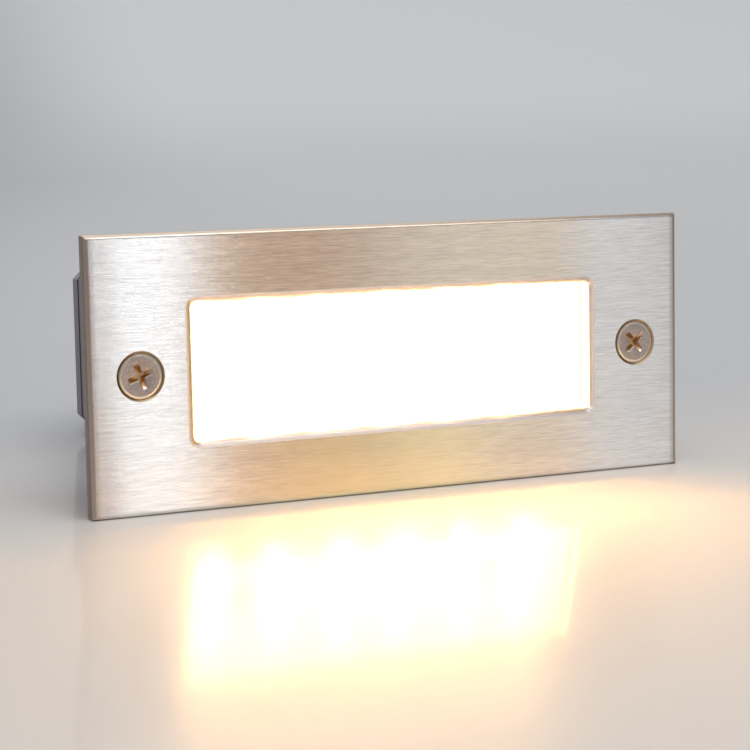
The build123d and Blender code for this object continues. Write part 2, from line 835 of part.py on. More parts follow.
for pole, x in pole_xs.items():
    with BuildPart() as terminal_cage:
        with BuildSketch(over_board(cage_bottom)):
            with Locations((x, cage_depth_middle)):
                Rectangle(cage_width, cage_depth)
        extrude(amount=cage_height)
        with BuildSketch(over_board(cage_bottom + cage_wall)):
            with Locations((x, cage_depth_middle)):
                Rectangle(cage_width - 2 * cage_side, cage_depth)
        extrude(amount=cage_height - 2 * cage_wall, mode=Mode.SUBTRACT)
        with BuildSketch(over_board(cage_top - cage_wall)):
            with Locations((x, cage_depth_middle)):
                Circle(terminal_screw_radius + terminal_thread_gap)
        extrude(amount=cage_wall, mode=Mode.SUBTRACT)
    save(terminal_cage, f"terminal_cage_{pole}")
    with BuildPart() as terminal_screw:
        with BuildSketch(over_board(contact_top + terminal_tip_gap)):
            with Locations((x, cage_depth_middle)):
                Circle(terminal_screw_radius)
        extrude(amount=head_bottom - contact_top - terminal_tip_gap)
        with BuildSketch(over_board(head_bottom)):
            with Locations((x, cage_depth_middle)):
                Circle(terminal_head_radius)
        extrude(amount=terminal_head_height)
        with BuildSketch(over_board(head_top - terminal_slot_depth)):
            with Locations((x, cage_depth_middle)):
                Rectangle(2 * terminal_head_radius, terminal_slot_width)
        extrude(amount=terminal_slot_depth, mode=Mode.SUBTRACT)
    save(terminal_screw, f"terminal_screw_{pole}")

# Driver board, with holes for the terminal's legs, the leads and the parts' wire legs
resistor_legs = [(resistor_x, resistor_depth + end * resistor_leg_span / 2) for end in (-1, 1)]
varistor_legs = [(varistor_x + end * varistor_leg_spacing / 2, varistor_depth) for end in (-1, 1)]
with BuildPart() as driver_board:
    with BuildSketch(Plane.XY.offset(board_bottom)):
        with Locations((0, (board_front + board_back) / 2)):
            Rectangle(board_width, board_length)
        round_holes(leg_places, contact_hole_radius)
        round_holes(resistor_legs + varistor_legs, wire_leg_radius + wire_hole_gap)
    extrude(amount=board_thickness)
save(driver_board, "driver_board")

# Fusible resistor: a barrel with end caps lying along the board, on two bent legs
resistor_axis = board_top + resistor_lift + resistor_cap_radius
resistor_start = resistor_depth - resistor_length / 2
resistor_end = resistor_depth + resistor_length / 2
with BuildPart() as fusible_resistor:
    spin(
        resistor_x,
        resistor_axis,
        [
            (0, resistor_start),
            (resistor_cap_radius, resistor_start),
            (resistor_cap_radius, resistor_start + resistor_cap_length),
            (resistor_radius, resistor_start + resistor_cap_length),
            (resistor_radius, resistor_end - resistor_cap_length),
            (resistor_cap_radius, resistor_end - resistor_cap_length),
            (resistor_cap_radius, resistor_end),
            (0, resistor_end),
        ],
    )
    leg_start, leg_end = [depth for x, depth in resistor_legs]
    spin(
        resistor_x,
        resistor_axis,
        [
            (0, leg_start - wire_leg_radius),
            (wire_leg_radius, leg_start - wire_leg_radius),
            (wire_leg_radius, leg_end + wire_leg_radius),
            (0, leg_end + wire_leg_radius),
        ],
    )
    with BuildSketch(Plane.XY.offset(board_bottom - leg_below_board)):
        with Locations(*resistor_legs):
            Circle(wire_leg_radius)
    extrude(amount=resistor_axis - board_bottom + leg_below_board)
save(fusible_resistor, "fusible_resistor")

# Varistor: a disc standing on two legs
with BuildPart() as varistor:
    varistor_axis = board_top + varistor_lift + varistor_radius
    with BuildSketch(facing(varistor_depth + varistor_thickness / 2)):
        with Locations((varistor_x, varistor_axis)):
            Circle(varistor_radius)
    extrude(amount=varistor_thickness)
    fillet(varistor.edges().filter_by(GeomType.CIRCLE), varistor_edge)
    with BuildSketch(Plane.XY.offset(board_bottom - leg_below_board)):
        with Locations(*varistor_legs):
            Circle(wire_leg_radius)
    extrude(amount=varistor_axis - board_bottom + leg_below_board)
save(varistor, "varistor")


def boxed(place, size, edge):
    # A box standing on the board with its upright and upper edges rounded.
    with BuildPart() as box:
        with BuildSketch(over_board(0)):
            with Locations(place):
                Rectangle(size[0], size[1])
        extrude(amount=size[2])
        fillet(box.edges().filter_by(Axis.Z) + box.faces().sort_by(Axis.Z)[-1].edges(), edge)
    return box


save(boxed(film_place, film_size, film_edge), "film_capacitor")
save(boxed(bridge_place, bridge_size, bridge_edge), "bridge_rectifier")


def can(place, radius, height):
    # An electrolytic capacitor: a standing can with a groove rolled round its foot.
    with BuildPart() as standing:
        with BuildSketch(over_board(0)):
            with Locations(place):
                Circle(radius)
        extrude(amount=height)
        fillet(standing.faces().sort_by(Axis.Z)[-1].edges(), can_edge)
        with Locations((place[0], place[1], board_top + can_groove_height)):
            Torus(radius, can_groove_radius, mode=Mode.SUBTRACT)
    return standing


save(can(input_place, input_radius, input_height), "input_capacitor")
save(can(output_place, output_radius, output_height), "output_capacitor")

# Driver chip: a flat package with legs down both long sides
with BuildPart() as driver_chip:
    with BuildSketch(over_board(chip_lift)):
        with Locations(chip_place):
            Rectangle(chip_size[0], chip_size[1])
    extrude(amount=chip_size[2])
    with BuildSketch(over_board(0)):
        with Locations(chip_place):
            with GridLocations(chip_size[0] + chip_leg_reach, chip_leg_pitch, 2, chip_leg_count):
                Rectangle(chip_leg_reach, chip_leg_width)
    extrude(amount=chip_leg_thickness)
    with BuildSketch(over_board(0)):
        with Locations(chip_place):
            with GridLocations(chip_size[0] + chip_leg_thickness, chip_leg_pitch, 2, chip_leg_count):
                Rectangle(chip_leg_thickness, chip_leg_width)
    extrude(amount=chip_lift + chip_size[2] / 2)
save(driver_chip, "driver_chip")

# Output diode: a small block with a tab at each end
with BuildPart() as output_diode:
    with BuildSketch(over_board(0)):
        with Locations(diode_place):
            Rectangle(diode_size[0], diode_size[1])
    extrude(amount=diode_size[2])
    with BuildSketch(over_board(0)):
        with Locations(diode_place):
            Rectangle(diode_tab[0], diode_size[1] + 2 * diode_tab[1])
    extrude(amount=diode_tab[2])
save(output_diode, "output_diode")

# Transformer: a flat ferrite core with two windows, a bobbin on its middle leg, and the coil
core_axis = board_top + core_rise
window_length = core_length - 2 * core_yoke
window_span = (core_width - 2 * core_outer_leg - core_centre_leg) / 2
window_x = (core_centre_leg + window_span) / 2
with BuildPart() as transformer_core:
    with BuildSketch(Plane.XY.offset(core_axis - core_thickness / 2)):
        with Locations(transformer_place):
            Rectangle(core_width, core_length)
            with GridLocations(2 * window_x, 0, 2, 1):
                Rectangle(window_span, window_length, mode=Mode.SUBTRACT)
    extrude(amount=core_thickness)
save(transformer_core, "transformer_core")

tube_width = core_centre_leg + 2 * bobbin_gap + 2 * bobbin_wall
tube_height = core_thickness + 2 * bobbin_gap + 2 * bobbin_wall
flange_span = core_width - 2 * core_outer_leg - 2 * coil_side_gap
bobbin_length = window_length - 2 * bobbin_gap
bobbin_back = transformer_depth + bobbin_length / 2
flange_backs = (bobbin_back, bobbin_back - bobbin_length + bobbin_flange)
with BuildPart() as transformer_bobbin:
    with BuildSketch(facing(bobbin_back)):
        with Locations((transformer_x, core_axis)):
            Rectangle(tube_width, tube_height)
    extrude(amount=bobbin_length)
    for flange_back in flange_backs:
        with BuildSketch(facing(flange_back)):
            with Locations((transformer_x, core_axis)):
                Rectangle(flange_span, bobbin_height)
        extrude(amount=bobbin_flange)
    foot_height = core_rise - bobbin_height / 2
    with BuildSketch(over_board(0)):
        for flange_back in flange_backs:
            with Locations((transformer_x, flange_back - bobbin_flange / 2)):
                Rectangle(flange_span, bobbin_foot_reach)
    extrude(amount=foot_height)
    with BuildSketch(facing(bobbin_back)):
        with Locations((transformer_x, core_axis)):
            Rectangle(core_centre_leg + 2 * bobbin_gap, core_thickness + 2 * bobbin_gap)
    extrude(amount=bobbin_length, mode=Mode.SUBTRACT)
save(transformer_bobbin, "transformer_bobbin")

coil_length = bobbin_length - 2 * bobbin_flange
with BuildPart() as transformer_coil:
    with BuildSketch(facing(transformer_depth + coil_length / 2)):
        with Locations((transformer_x, core_axis)):
            RectangleRounded(flange_span - 2 * coil_side_gap, coil_height, coil_edge)
            Rectangle(tube_width, tube_height, mode=Mode.SUBTRACT)
    extrude(amount=coil_length)
save(transformer_coil, "transformer_coil")

# Cover seal: a frame on the tub's rear rim with a land round each corner screw
with BuildPart() as cover_seal:
    with BuildSketch(facing(cover_front)):
        tub_outline(0)
        tub_outline(tub_wall, mode=Mode.SUBTRACT)
        corner_lands()
        round_holes(corner_places, cover_hole_radius)
    extrude(amount=cover_seal_thickness)
save(cover_seal, "cover_seal")

# Back cover: a plate with two tongues that locate it in the tub, and the gland's hole
tongue_length = 2 * (boss_x - boss_radius - tongue_end_gap)
tongue_middle = inside_height / 2 - tongue_clearance - tongue_thickness / 2
with BuildPart() as back_cover:
    with BuildSketch(facing(cover_back)):
        tub_outline(0)
    extrude(amount=cover_thickness)
    chamfer(back_cover.faces().sort_by(Axis.Y)[-1].edges(), cover_edge_chamfer)
    with BuildSketch(facing(cover_front)):
        with Locations((0, tongue_middle), (0, -tongue_middle)):
            Rectangle(tongue_length, tongue_thickness)
    extrude(amount=cover_seal_thickness + tongue_reach)
    with BuildSketch(facing(cover_back)):
        Circle(gland_hole_radius)
    extrude(amount=cover_thickness, mode=Mode.SUBTRACT)
    with Locations(Plane(origin=(0, cover_back, 0), x_dir=(1, 0, 0), z_dir=(0, 1, 0))):
        with Locations(*corner_places):
            CounterSinkHole(cover_hole_radius, cover_sink_radius, cover_thickness, 90)
save(back_cover, "back_cover")

# Cover screws: slotted countersunk heads, flush with the cover
cover_head_top = cover_back - cover_head_below
cover_neck = cover_head_top - cover_head_radius + cover_screw_radius
cover_tip = cover_head_top - cover_screw_length
with BuildPart() as cover_screws:
    for x, z in corner_places:
        spin(
            x,
            z,
            [
                (0, cover_head_top),
                (cover_head_radius, cover_head_top),
                (cover_screw_radius, cover_neck),
                (cover_screw_radius, cover_tip + cover_tip_chamfer),
                (cover_screw_radius - cover_tip_chamfer, cover_tip),
                (0, cover_tip),
            ],
        )
    with BuildSketch(facing(cover_head_top)):
        with Locations(*corner_places):
            Rectangle(2 * cover_head_radius, cover_slot_width)
    extrude(amount=cover_slot_depth, mode=Mode.SUBTRACT)
save(cover_screws, "cover_screws")

# Gland body: thread through the cover, hexagon outside, then a collar that takes the cap
hex_radius = gland_flats / math.sqrt(3)
with BuildPart() as gland_body:
    with BuildSketch(facing(gland_seat + gland_hex_length)):
        RegularPolygon(hex_radius, 6)
    extrude(amount=gland_hex_length)
    chamfer(gland_body.faces().sort_by(Axis.Y)[-1].edges(), gland_corner_chamfer)
    with BuildSketch(facing(gland_seat)):
        Circle(gland_thread_radius)
    extrude(amount=gland_thread_length)
    with BuildSketch(facing(collar_back)):
        Circle(gland_collar_radius)
    extrude(amount=gland_collar_length)
    with BuildSketch(facing(collar_back)):
        Circle(gland_bore_radius)
    extrude(amount=collar_back - gland_seat + gland_thread_length, mode=Mode.SUBTRACT)
    with BuildSketch(facing(collar_back)):
        Circle(gland_mouth_radius)
    extrude(amount=gland_mouth_length, mode=Mode.SUBTRACT)
save(gland_body, "gland_body")

with BuildPart() as gland_washer:
    with BuildSketch(facing(gland_seat)):
        Circle(gland_washer_radius)
        Circle(gland_hole_radius, mode=Mode.SUBTRACT)
    extrude(amount=gland_washer_thickness)
save(gland_washer, "gland_washer")

with BuildPart() as lock_nut:
    with BuildSketch(facing(cover_front)):
        RegularPolygon(hex_radius, 6)
    extrude(amount=nut_thickness)
    chamfer(lock_nut.faces().sort_by(Axis.Y)[0].edges(), gland_corner_chamfer)
    with BuildSketch(facing(cover_front)):
        Circle(gland_thread_radius + nut_thread_gap)
    extrude(amount=nut_thickness, mode=Mode.SUBTRACT)
save(lock_nut, "lock_nut")

# Gland seal: the rubber sleeve that closes on the cable
with BuildPart() as gland_seal:
    with BuildSketch(facing(gland_seal_front + gland_seal_length)):
        Circle(gland_fill_radius)
        Circle(gland_seal_bore_radius, mode=Mode.SUBTRACT)
    extrude(amount=gland_seal_length)
save(gland_seal, "gland_seal")

# Gland clamp: a ring with fingers, pushed on the seal by the cap
with BuildPart() as gland_clamp:
    with BuildSketch(facing(clamp_back)):
        Circle(gland_fill_radius)
        Circle(clamp_bore_radius, mode=Mode.SUBTRACT)
    extrude(amount=clamp_length)
    with BuildSketch(facing(clamp_back)):
        with PolarLocations((clamp_bore_radius + gland_fill_radius) / 2, clamp_slits):
            Rectangle(2 * (gland_fill_radius - clamp_bore_radius), clamp_slit_width)
    extrude(amount=clamp_slit_length, mode=Mode.SUBTRACT)
save(gland_clamp, "gland_clamp")

# Gland cap: a domed hexagon nut
with BuildPart() as gland_cap:
    with BuildSketch(facing(cap_back)):
        RegularPolygon(hex_radius, 6)
    extrude(amount=cap_back - cap_front)
    spin(
        0,
        0,
        [
            (hex_radius, cap_back),
            (hex_radius, cap_back - cap_dome_radius),
            (gland_flats / 2 - cap_dome_radius, cap_back),
        ],
        mode=Mode.SUBTRACT,
    )
    with BuildSketch(facing(collar_back + cap_thread_end_gap)):
        Circle(gland_collar_radius + cap_thread_gap)
    extrude(amount=collar_back + cap_thread_end_gap - cap_front, mode=Mode.SUBTRACT)
    with BuildSketch(facing(clamp_back + clamp_gap)):
        Circle(cap_throat_radius)
    extrude(amount=clamp_back + clamp_gap - cap_front, mode=Mode.SUBTRACT)
    with BuildSketch(facing(cap_back)):
        Circle(cap_mouth_radius)
    extrude(amount=cap_back - cap_front, mode=Mode.SUBTRACT)
save(gland_cap, "gland_cap")
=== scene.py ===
import math

import bmesh
import bpy
from mathutils import Matrix, Vector


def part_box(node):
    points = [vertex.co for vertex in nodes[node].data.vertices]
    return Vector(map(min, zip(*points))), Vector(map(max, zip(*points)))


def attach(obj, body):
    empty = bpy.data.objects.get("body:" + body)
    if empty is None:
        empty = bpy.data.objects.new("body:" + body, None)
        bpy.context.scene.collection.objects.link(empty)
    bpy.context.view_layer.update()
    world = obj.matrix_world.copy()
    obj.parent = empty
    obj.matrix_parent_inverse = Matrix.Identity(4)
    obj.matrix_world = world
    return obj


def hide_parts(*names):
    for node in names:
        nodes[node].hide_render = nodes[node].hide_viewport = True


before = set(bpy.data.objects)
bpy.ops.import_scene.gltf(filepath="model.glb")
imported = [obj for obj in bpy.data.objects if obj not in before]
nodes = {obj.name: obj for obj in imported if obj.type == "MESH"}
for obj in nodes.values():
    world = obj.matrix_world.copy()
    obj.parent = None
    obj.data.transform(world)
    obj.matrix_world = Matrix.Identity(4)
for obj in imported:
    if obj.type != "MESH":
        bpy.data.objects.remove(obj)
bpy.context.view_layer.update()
print("frame loaded:", len(nodes), "CAD pieces")

mm = 0.001
scene = bpy.context.scene
scene.view_settings.view_transform = "Standard"

# camera: place, angles and lens solved from the picture
view = {"place": (-0.15993, -0.322518, 0.037163), "yaw": 25.882, "pitch": 6.375, "roll": -1.118,
        "lens": 102.9, "sensor": 36.0, "nearest": 0.01}
cameraData = bpy.data.cameras.new("viewCamera")
cameraData.lens = view["lens"]
cameraData.sensor_width = view["sensor"]
cameraData.clip_start = view["nearest"]
camera = bpy.data.objects.new("viewCamera", cameraData)
scene.collection.objects.link(camera)
camera.matrix_world = (
    Matrix.Translation(view["place"])
    @ Matrix.Rotation(math.radians(-view["yaw"]), 4, "Z")
    @ Matrix.Rotation(math.radians(90 - view["pitch"]), 4, "X")
    @ Matrix.Rotation(math.radians(view["roll"]), 4, "Z")
)
scene.camera = camera


# small helpers for building materials
def newMaterial(name):
    material = bpy.data.materials.new(name)
    material.use_nodes = True
    tree = material.node_tree
    return material, tree, tree.nodes["Principled BSDF"]


def add(tree, kind, inputs=None, **settings):
    # one node with its settings; inputs are values, or sockets to link
    node = tree.nodes.new(kind)
    for key, value in settings.items():
        setattr(node, key, value)
    for key, value in (inputs or {}).items():
        if isinstance(value, bpy.types.NodeSocket):
            tree.links.new(value, node.inputs[key])
        else:
            node.inputs[key].default_value = value
    return node


def paint(tree, shader, inputs):
    # sockets are linked; a plain number or colour is set on the shader's own socket
    for name, value in inputs.items():
        if isinstance(value, bpy.types.NodeSocket):
            tree.links.new(value, shader.inputs[name])
        else:
            shader.inputs[name].default_value = value


def math2(tree, operation, a, b=0.0):
    return add(tree, "ShaderNodeMath", {0: a, 1: b}, operation=operation).outputs[0]


def plus(tree, a, b):
    return math2(tree, "ADD", a, b)


def minus(tree, a, b):
    return math2(tree, "SUBTRACT", a, b)


def times(tree, a, b):
    return math2(tree, "MULTIPLY", a, b)


def larger(tree, a, b):
    return math2(tree, "MAXIMUM", a, b)


def unsigned(tree, value):
    return math2(tree, "ABSOLUTE", value)


def distance(tree, a, b):
    # from zero to the point a, b
    return math2(tree, "SQRT", plus(tree, times(tree, a, a), times(tree, b, b)))


def stepPart(tree, value, step):
    # how far the value has come through its step, 0 to 1
    return math2(tree, "FRACT", math2(tree, "DIVIDE", value, step))


def span(tree, value, fromMin, fromMax, toMin=0.0, toMax=1.0, smooth=False):
    settings = {"interpolation_type": "SMOOTHSTEP"} if smooth else {}
    inputs = {"Value": value, "From Min": fromMin, "From Max": fromMax, "To Min": toMin, "To Max": toMax}
    return add(tree, "ShaderNodeMapRange", inputs, **settings).outputs["Result"]


def drop(tree, value, start, end, smooth=False):
    # 1 up to the start, 0 past the end
    return span(tree, value, start, end, 1.0, 0.0, smooth)


def blendValue(tree, share, a, b):
    # a where the share is 0, b where it is 1
    return span(tree, share, 0.0, 1.0, a, b)


def between(tree, value, low, high, soft=0.06):
    # 1 where the value lies between low and high
    return times(tree, span(tree, value, low - soft, low), drop(tree, value, high, high + soft))


def beyond(tree, value, centre, reach, soft=0.05):
    # 1 further than reach from the centre
    return span(tree, unsigned(tree, minus(tree, value, centre)), reach, reach + soft)


def mixColour(tree, amount, a, b, blend="MIX"):
    # a where the amount is 0, b where it is 1
    node = add(tree, "ShaderNodeMix", data_type="RGBA", blend_type=blend)
    for socket, value in ((node.inputs[0], amount), (node.inputs[6], a), (node.inputs[7], b)):
        if isinstance(value, bpy.types.NodeSocket):
            tree.links.new(value, socket)
        else:
            socket.default_value = value if isinstance(value, float) else (*value[:3], 1.0)
    return node.outputs[2]


def place(tree, scale=(1, 1, 1), offset=(0, 0, 0)):
    # Object coordinates in millimetres, moved then stretched
    coordinate = add(tree, "ShaderNodeTexCoord").outputs["Object"]
    inputs = {"Vector": coordinate, "Location": tuple(-s * o for s, o in zip(scale, offset)),
              "Scale": tuple(s / mm for s in scale)}
    return add(tree, "ShaderNodeMapping", inputs).outputs[0]


def axes(tree, vector):
    return add(tree, "ShaderNodeSeparateXYZ", {0: vector}).outputs


def noise(tree, vector, scale=1.0, detail=3.0, roughness=0.6):
    inputs = {"Vector": vector, "Scale": scale, "Detail": detail, "Roughness": roughness}
    return add(tree, "ShaderNodeTexNoise", inputs).outputs["Fac"]


noiseRange = (0.3, 0.7)  # a noise seldom leaves it


def mottle(tree, grain, dark, light):
    # two tones of one colour, mixed by a noise
    return mixColour(tree, span(tree, grain, *noiseRange), dark, light)


def roughened(tree, grain, low, high):
    # roughness that follows a noise
    return span(tree, grain, *noiseRange, low, high)


def bump(tree, shader, height, depth, strength=1.0, before=None):
    inputs = {"Height": height, "Distance": depth * mm, "Strength": strength}
    if before:
        inputs["Normal"] = before
    tree.links.new(add(tree, "ShaderNodeBump", inputs).outputs[0], shader.inputs["Normal"])


def dress(material, *names):
    for name in names:
        mesh = nodes[name].data
        mesh.materials.clear()
        mesh.materials.append(material)


# brushed faceplate: hairlines run along it; lengths are in millimetres
plateLook = {
    # steel and its grain
    "light": (1.0, 0.98, 0.955), "dark": (0.75, 0.725, 0.7), "contrast": (0.39, 0.61),
    "hairlines": (0.2, 1.6, 6.4), "beltPasses": (0.02, 0.3, 0.8), "hairlineShare": 0.82,
    "scratches": (0.16, 3.0, 14.0), "scratch": (0.93, 0.92, 0.9), "scratchFrom": (0.66, 0.78),
    "scratchAmount": 0.35,
    "rough": (0.115, 0.185), "workedRough": 0.5, "brushDepth": 0.005, "anisotropy": 1.0,
    # painted light: the lamp's warm glow on the steel beside the window, and a painted gold reflection of
    # the lit floor below it
    "lampGlow": (1.0, 0.84, 0.64), "lampGlowAmount": 0.75, "lampGlowFade": (27.0, 42.0),
    "floorReflection": (1.0, 0.87, 0.5), "floorReflectionAmount": 0.65, "floorReflectionMiddle": -4.0, "floorReflectionFade": (8.0, 30.0),
    "floorReflectionTop": (-12.6, -11.8),
    # painted shade, darker brown: on the rounded ends, on the left side, along the top rim, and on the bare
    # cut of the ends
    "edge": (0.42, 0.33, 0.26), "endShadeAmount": 0.85, "endShadeFrom": (53.0, 54.6),
    "endFaceShade": (0.56, 0.48, 0.4), "shearFrom": (54.78, 54.88),
    "leftShade": (0.58, 0.45, 0.38), "stainAndShadeAmount": 0.5, "leftShadeFade": (-53.0, -48.5),
    "leftShadeLevels": (-20.0, 15.0), "leftShadeAbove": 0.3,
    "topRimShade": (0.64, 0.52, 0.41), "rimFrom": (22.0, 22.25),
    # rolled lip of the window: half its width and height, the radius of its corners, and the lip's reach;
    # its colours are painted reflection and shade, and the opening's wall is painted lit
    "window": (36.9, 11.1), "corner": 0.8, "lipReach": 1.1, "leftLipWider": 0.25, "lipSoft": 0.12,
    "lipAmount": 0.9, "lipWorked": 0.5, "outerLipReflection": (0.95, 0.86, 0.8), "sideLipReflection": (0.84, 0.64, 0.43),
    "upperLipShade": (0.42, 0.41, 0.46), "lowerLipShade": (0.22, 0.215, 0.25), "innerLipFade": (0.3, 1.0),
    "lipShadeLine": (0.5, 0.4, 0.33), "lipLineFade": (0.12, 0.4),
    "lipSideFade": (-0.1, 0.1), "lipLeftFade": (-20.0, 20.0), "lipUpperFade": (-1.0, 1.0),
    "openingWallLight": (0.97, 0.9, 0.87), "openingWallFade": (0.015, 0.03), "openingWallMetal": 0.3,
    # countersunk seats of the two screws, painted darker gold as painted shade and warm reflection
    "seatShadeAndGlint": (0.62, 0.47, 0.3), "seatFade": (4.0, 4.1), "screwAxis": 46.15,
}


def lipPaintedLight(tree, look, x, z, outward):
    # painted reflection and shade on the rolled lip, and painted lamp light on the wall inside the opening,
    # and where they lie
    pastSide = minus(tree, outward, look["window"][0])
    pastTop = minus(tree, unsigned(tree, z), look["window"][1])
    overSide = larger(tree, plus(tree, pastSide, look["corner"]), 0.0)
    overTop = larger(tree, plus(tree, pastTop, look["corner"]), 0.0)
    fromOpening = minus(tree, distance(tree, overSide, overTop), look["corner"])
    onSide = span(tree, minus(tree, pastSide, pastTop), *look["lipSideFade"])
    onLeft = drop(tree, x, *look["lipLeftFade"], smooth=True)
    leftSide = times(tree, onSide, onLeft)
    reach = plus(tree, times(tree, leftSide, look["leftLipWider"]), look["lipReach"])
    lip = drop(tree, minus(tree, fromOpening, reach), 0.0, look["lipSoft"])
    # painted shade: the lip next to the opening darker, darkest below it
    innerLipShade = mixColour(tree, span(tree, z, *look["lipUpperFade"]), look["lowerLipShade"], look["upperLipShade"])
    levelLip = mixColour(tree, drop(tree, fromOpening, *look["innerLipFade"]), look["outerLipReflection"], innerLipShade)
    # painted warm reflection: the lip's left side tan, elsewhere a pale painted reflection
    endLip = mixColour(tree, onLeft, look["outerLipReflection"], look["sideLipReflection"])
    colour = mixColour(tree, onSide, levelLip, endLip)
    # painted shade: a darker line along the left lip's inner edge
    line = times(tree, drop(tree, fromOpening, *look["lipLineFade"]), leftSide)
    colour = mixColour(tree, line, colour, look["lipShadeLine"])
    # painted lamp light: the opening's wall whitish and less metallic
    openingWallLight = drop(tree, fromOpening, *look["openingWallFade"])
    return mixColour(tree, openingWallLight, colour, look["openingWallLight"]), lip, openingWallLight


def brushedSteel(look):
    material, tree, shader = newMaterial("brushedSteel")
    fine = noise(tree, place(tree, look["hairlines"]), detail=4.0, roughness=0.74)
    broad = noise(tree, place(tree, look["beltPasses"]), roughness=0.5)
    scratch = noise(tree, place(tree, look["scratches"]), detail=2.0, roughness=0.5)
    share = look["hairlineShare"]
    shade = plus(tree, times(tree, fine, share), times(tree, broad, 1 - share))
    colour = mixColour(tree, span(tree, shade, *look["contrast"]), look["dark"], look["light"])
    scratched = span(tree, scratch, *look["scratchFrom"], 0.0, look["scratchAmount"])
    colour = mixColour(tree, scratched, colour, look["scratch"])
    x, _, z = axes(tree, place(tree))
    outward = unsigned(tree, x)
    # painted warm glow of the lamp on the steel round the window
    lampGlowShare = times(tree, drop(tree, outward, *look["lampGlowFade"], smooth=True), look["lampGlowAmount"])
    colour = mixColour(tree, lampGlowShare, colour, look["lampGlow"], "MULTIPLY")
    # painted gold reflection of the lit floor on the steel below the window
    fromMiddle = unsigned(tree, minus(tree, x, look["floorReflectionMiddle"]))
    floorReflectionShare = span(tree, fromMiddle, *look["floorReflectionFade"], look["floorReflectionAmount"], 0.0, smooth=True)
    floorReflectionShare = times(tree, drop(tree, z, *look["floorReflectionTop"]), floorReflectionShare)
    colour = mixColour(tree, floorReflectionShare, colour, look["floorReflection"])
    # painted shade: the rounded ends darker brown
    endShading = span(tree, outward, *look["endShadeFrom"], smooth=True)
    colour = mixColour(tree, times(tree, endShading, look["endShadeAmount"]), colour, look["edge"])
    # the cut end faces: rougher from the cut, and painted darker brown as painted shade
    shearCut = span(tree, outward, *look["shearFrom"])
    colour = mixColour(tree, shearCut, colour, look["endFaceShade"])
    # painted shade: the left end darker grey-brown, strongest towards the bottom
    leftShading = span(tree, x, *look["leftShadeFade"], look["stainAndShadeAmount"], 0.0, smooth=True)
    stainedAndShaded = times(tree, leftShading, span(tree, z, *look["leftShadeLevels"], 1.0, look["leftShadeAbove"]))
    colour = mixColour(tree, stainedAndShaded, colour, look["leftShade"])
    # painted shade: the top rim darker brown
    topRimShade = span(tree, z, *look["rimFrom"])
    colour = mixColour(tree, topRimShade, colour, look["topRimShade"])
    lipColour, lip, openingWallLight = lipPaintedLight(tree, look, x, z, outward)
    colour = mixColour(tree, times(tree, lip, look["lipAmount"]), colour, lipColour)
    fromScrew = distance(tree, minus(tree, outward, look["screwAxis"]), z)
    seatShadeAndGlint = drop(tree, fromScrew, *look["seatFade"])  # dulled by the cutter, and painted darker gold as painted shade and warm reflection
    colour = mixColour(tree, seatShadeAndGlint, colour, look["seatShadeAndGlint"])
    worked = larger(tree, larger(tree, shearCut, seatShadeAndGlint), times(tree, lip, look["lipWorked"]))
    worked = larger(tree, worked, topRimShade)
    upright = add(tree, "ShaderNodeCombineXYZ", {2: 1.0}).outputs[0]  # the gloss spreads up and down
    paint(tree, shader, {
        "Base Color": colour,
        "Roughness": blendValue(tree, worked, roughened(tree, shade, *look["rough"]), look["workedRough"]),
        "Metallic": blendValue(tree, openingWallLight, 1.0, look["openingWallMetal"]),
        "Anisotropic": look["anisotropy"],
        "Tangent": upright,
    })
    bump(tree, shader, fine, look["brushDepth"])
    return material


dress(brushedSteel(plateLook), "faceplate")
print("faceplate brushed")


def turnedSteel(name, look):
    # machined fastener: plated steel with a grainy pressed face
    material, tree, shader = newMaterial(name)
    millimetres = place(tree)
    grain = noise(tree, millimetres, look["grain"], detail=4.0, roughness=0.65)
    stain = noise(tree, millimetres, look["blotch"], roughness=0.5)
    base = mixColour(tree, span(tree, grain, *look["contrast"]), look["dark"], look["light"])
    stainedAndShaded = span(tree, stain, *look["stainFrom"], 0.0, look["stainAndShadeAmount"])
    base = mixColour(tree, stainedAndShaded, base, look["stain"])
    rough = roughened(tree, grain, look["rough"] - look["smoother"], look["rough"] + look["rougher"])
    paint(tree, shader, {"Base Color": base, "Roughness": rough, "Metallic": 1.0})
    bump(tree, shader, grain, look["depth"], look["strength"])
    return material


turnedLook = {"blotch": 0.9, "contrast": (0.35, 0.68), "stainFrom": (0.5, 0.72), "stainAndShadeAmount": 0.5,
              "smoother": 0.06, "rougher": 0.12, "strength": 0.8}
screwLook = dict(turnedLook, light=(0.72, 0.61, 0.54), dark=(0.42, 0.34, 0.3), stain=(0.48, 0.37, 0.28),
                 grain=4.2, rough=0.32, depth=0.04)
brassLook = dict(turnedLook, light=(0.7, 0.5, 0.26), dark=(0.4, 0.27, 0.12), stain=(0.3, 0.2, 0.1),
                 grain=4.0, rough=0.32, depth=0.008)
nickelLook = dict(turnedLook, light=(0.78, 0.76, 0.7), dark=(0.58, 0.55, 0.5), stain=(0.6, 0.54, 0.45),
                  grain=5.0, rough=0.24, depth=0.006)
screwSteel = turnedSteel("screwSteel", screwLook)
dress(turnedSteel("brass", brassLook), "cone_washer_left", "cone_washer_right", "threaded_inserts")
dress(turnedSteel("nickel", nickelLook), "terminal_contacts", "terminal_cage_live", "terminal_cage_neutral",
      "terminal_screw_live", "terminal_screw_neutral")


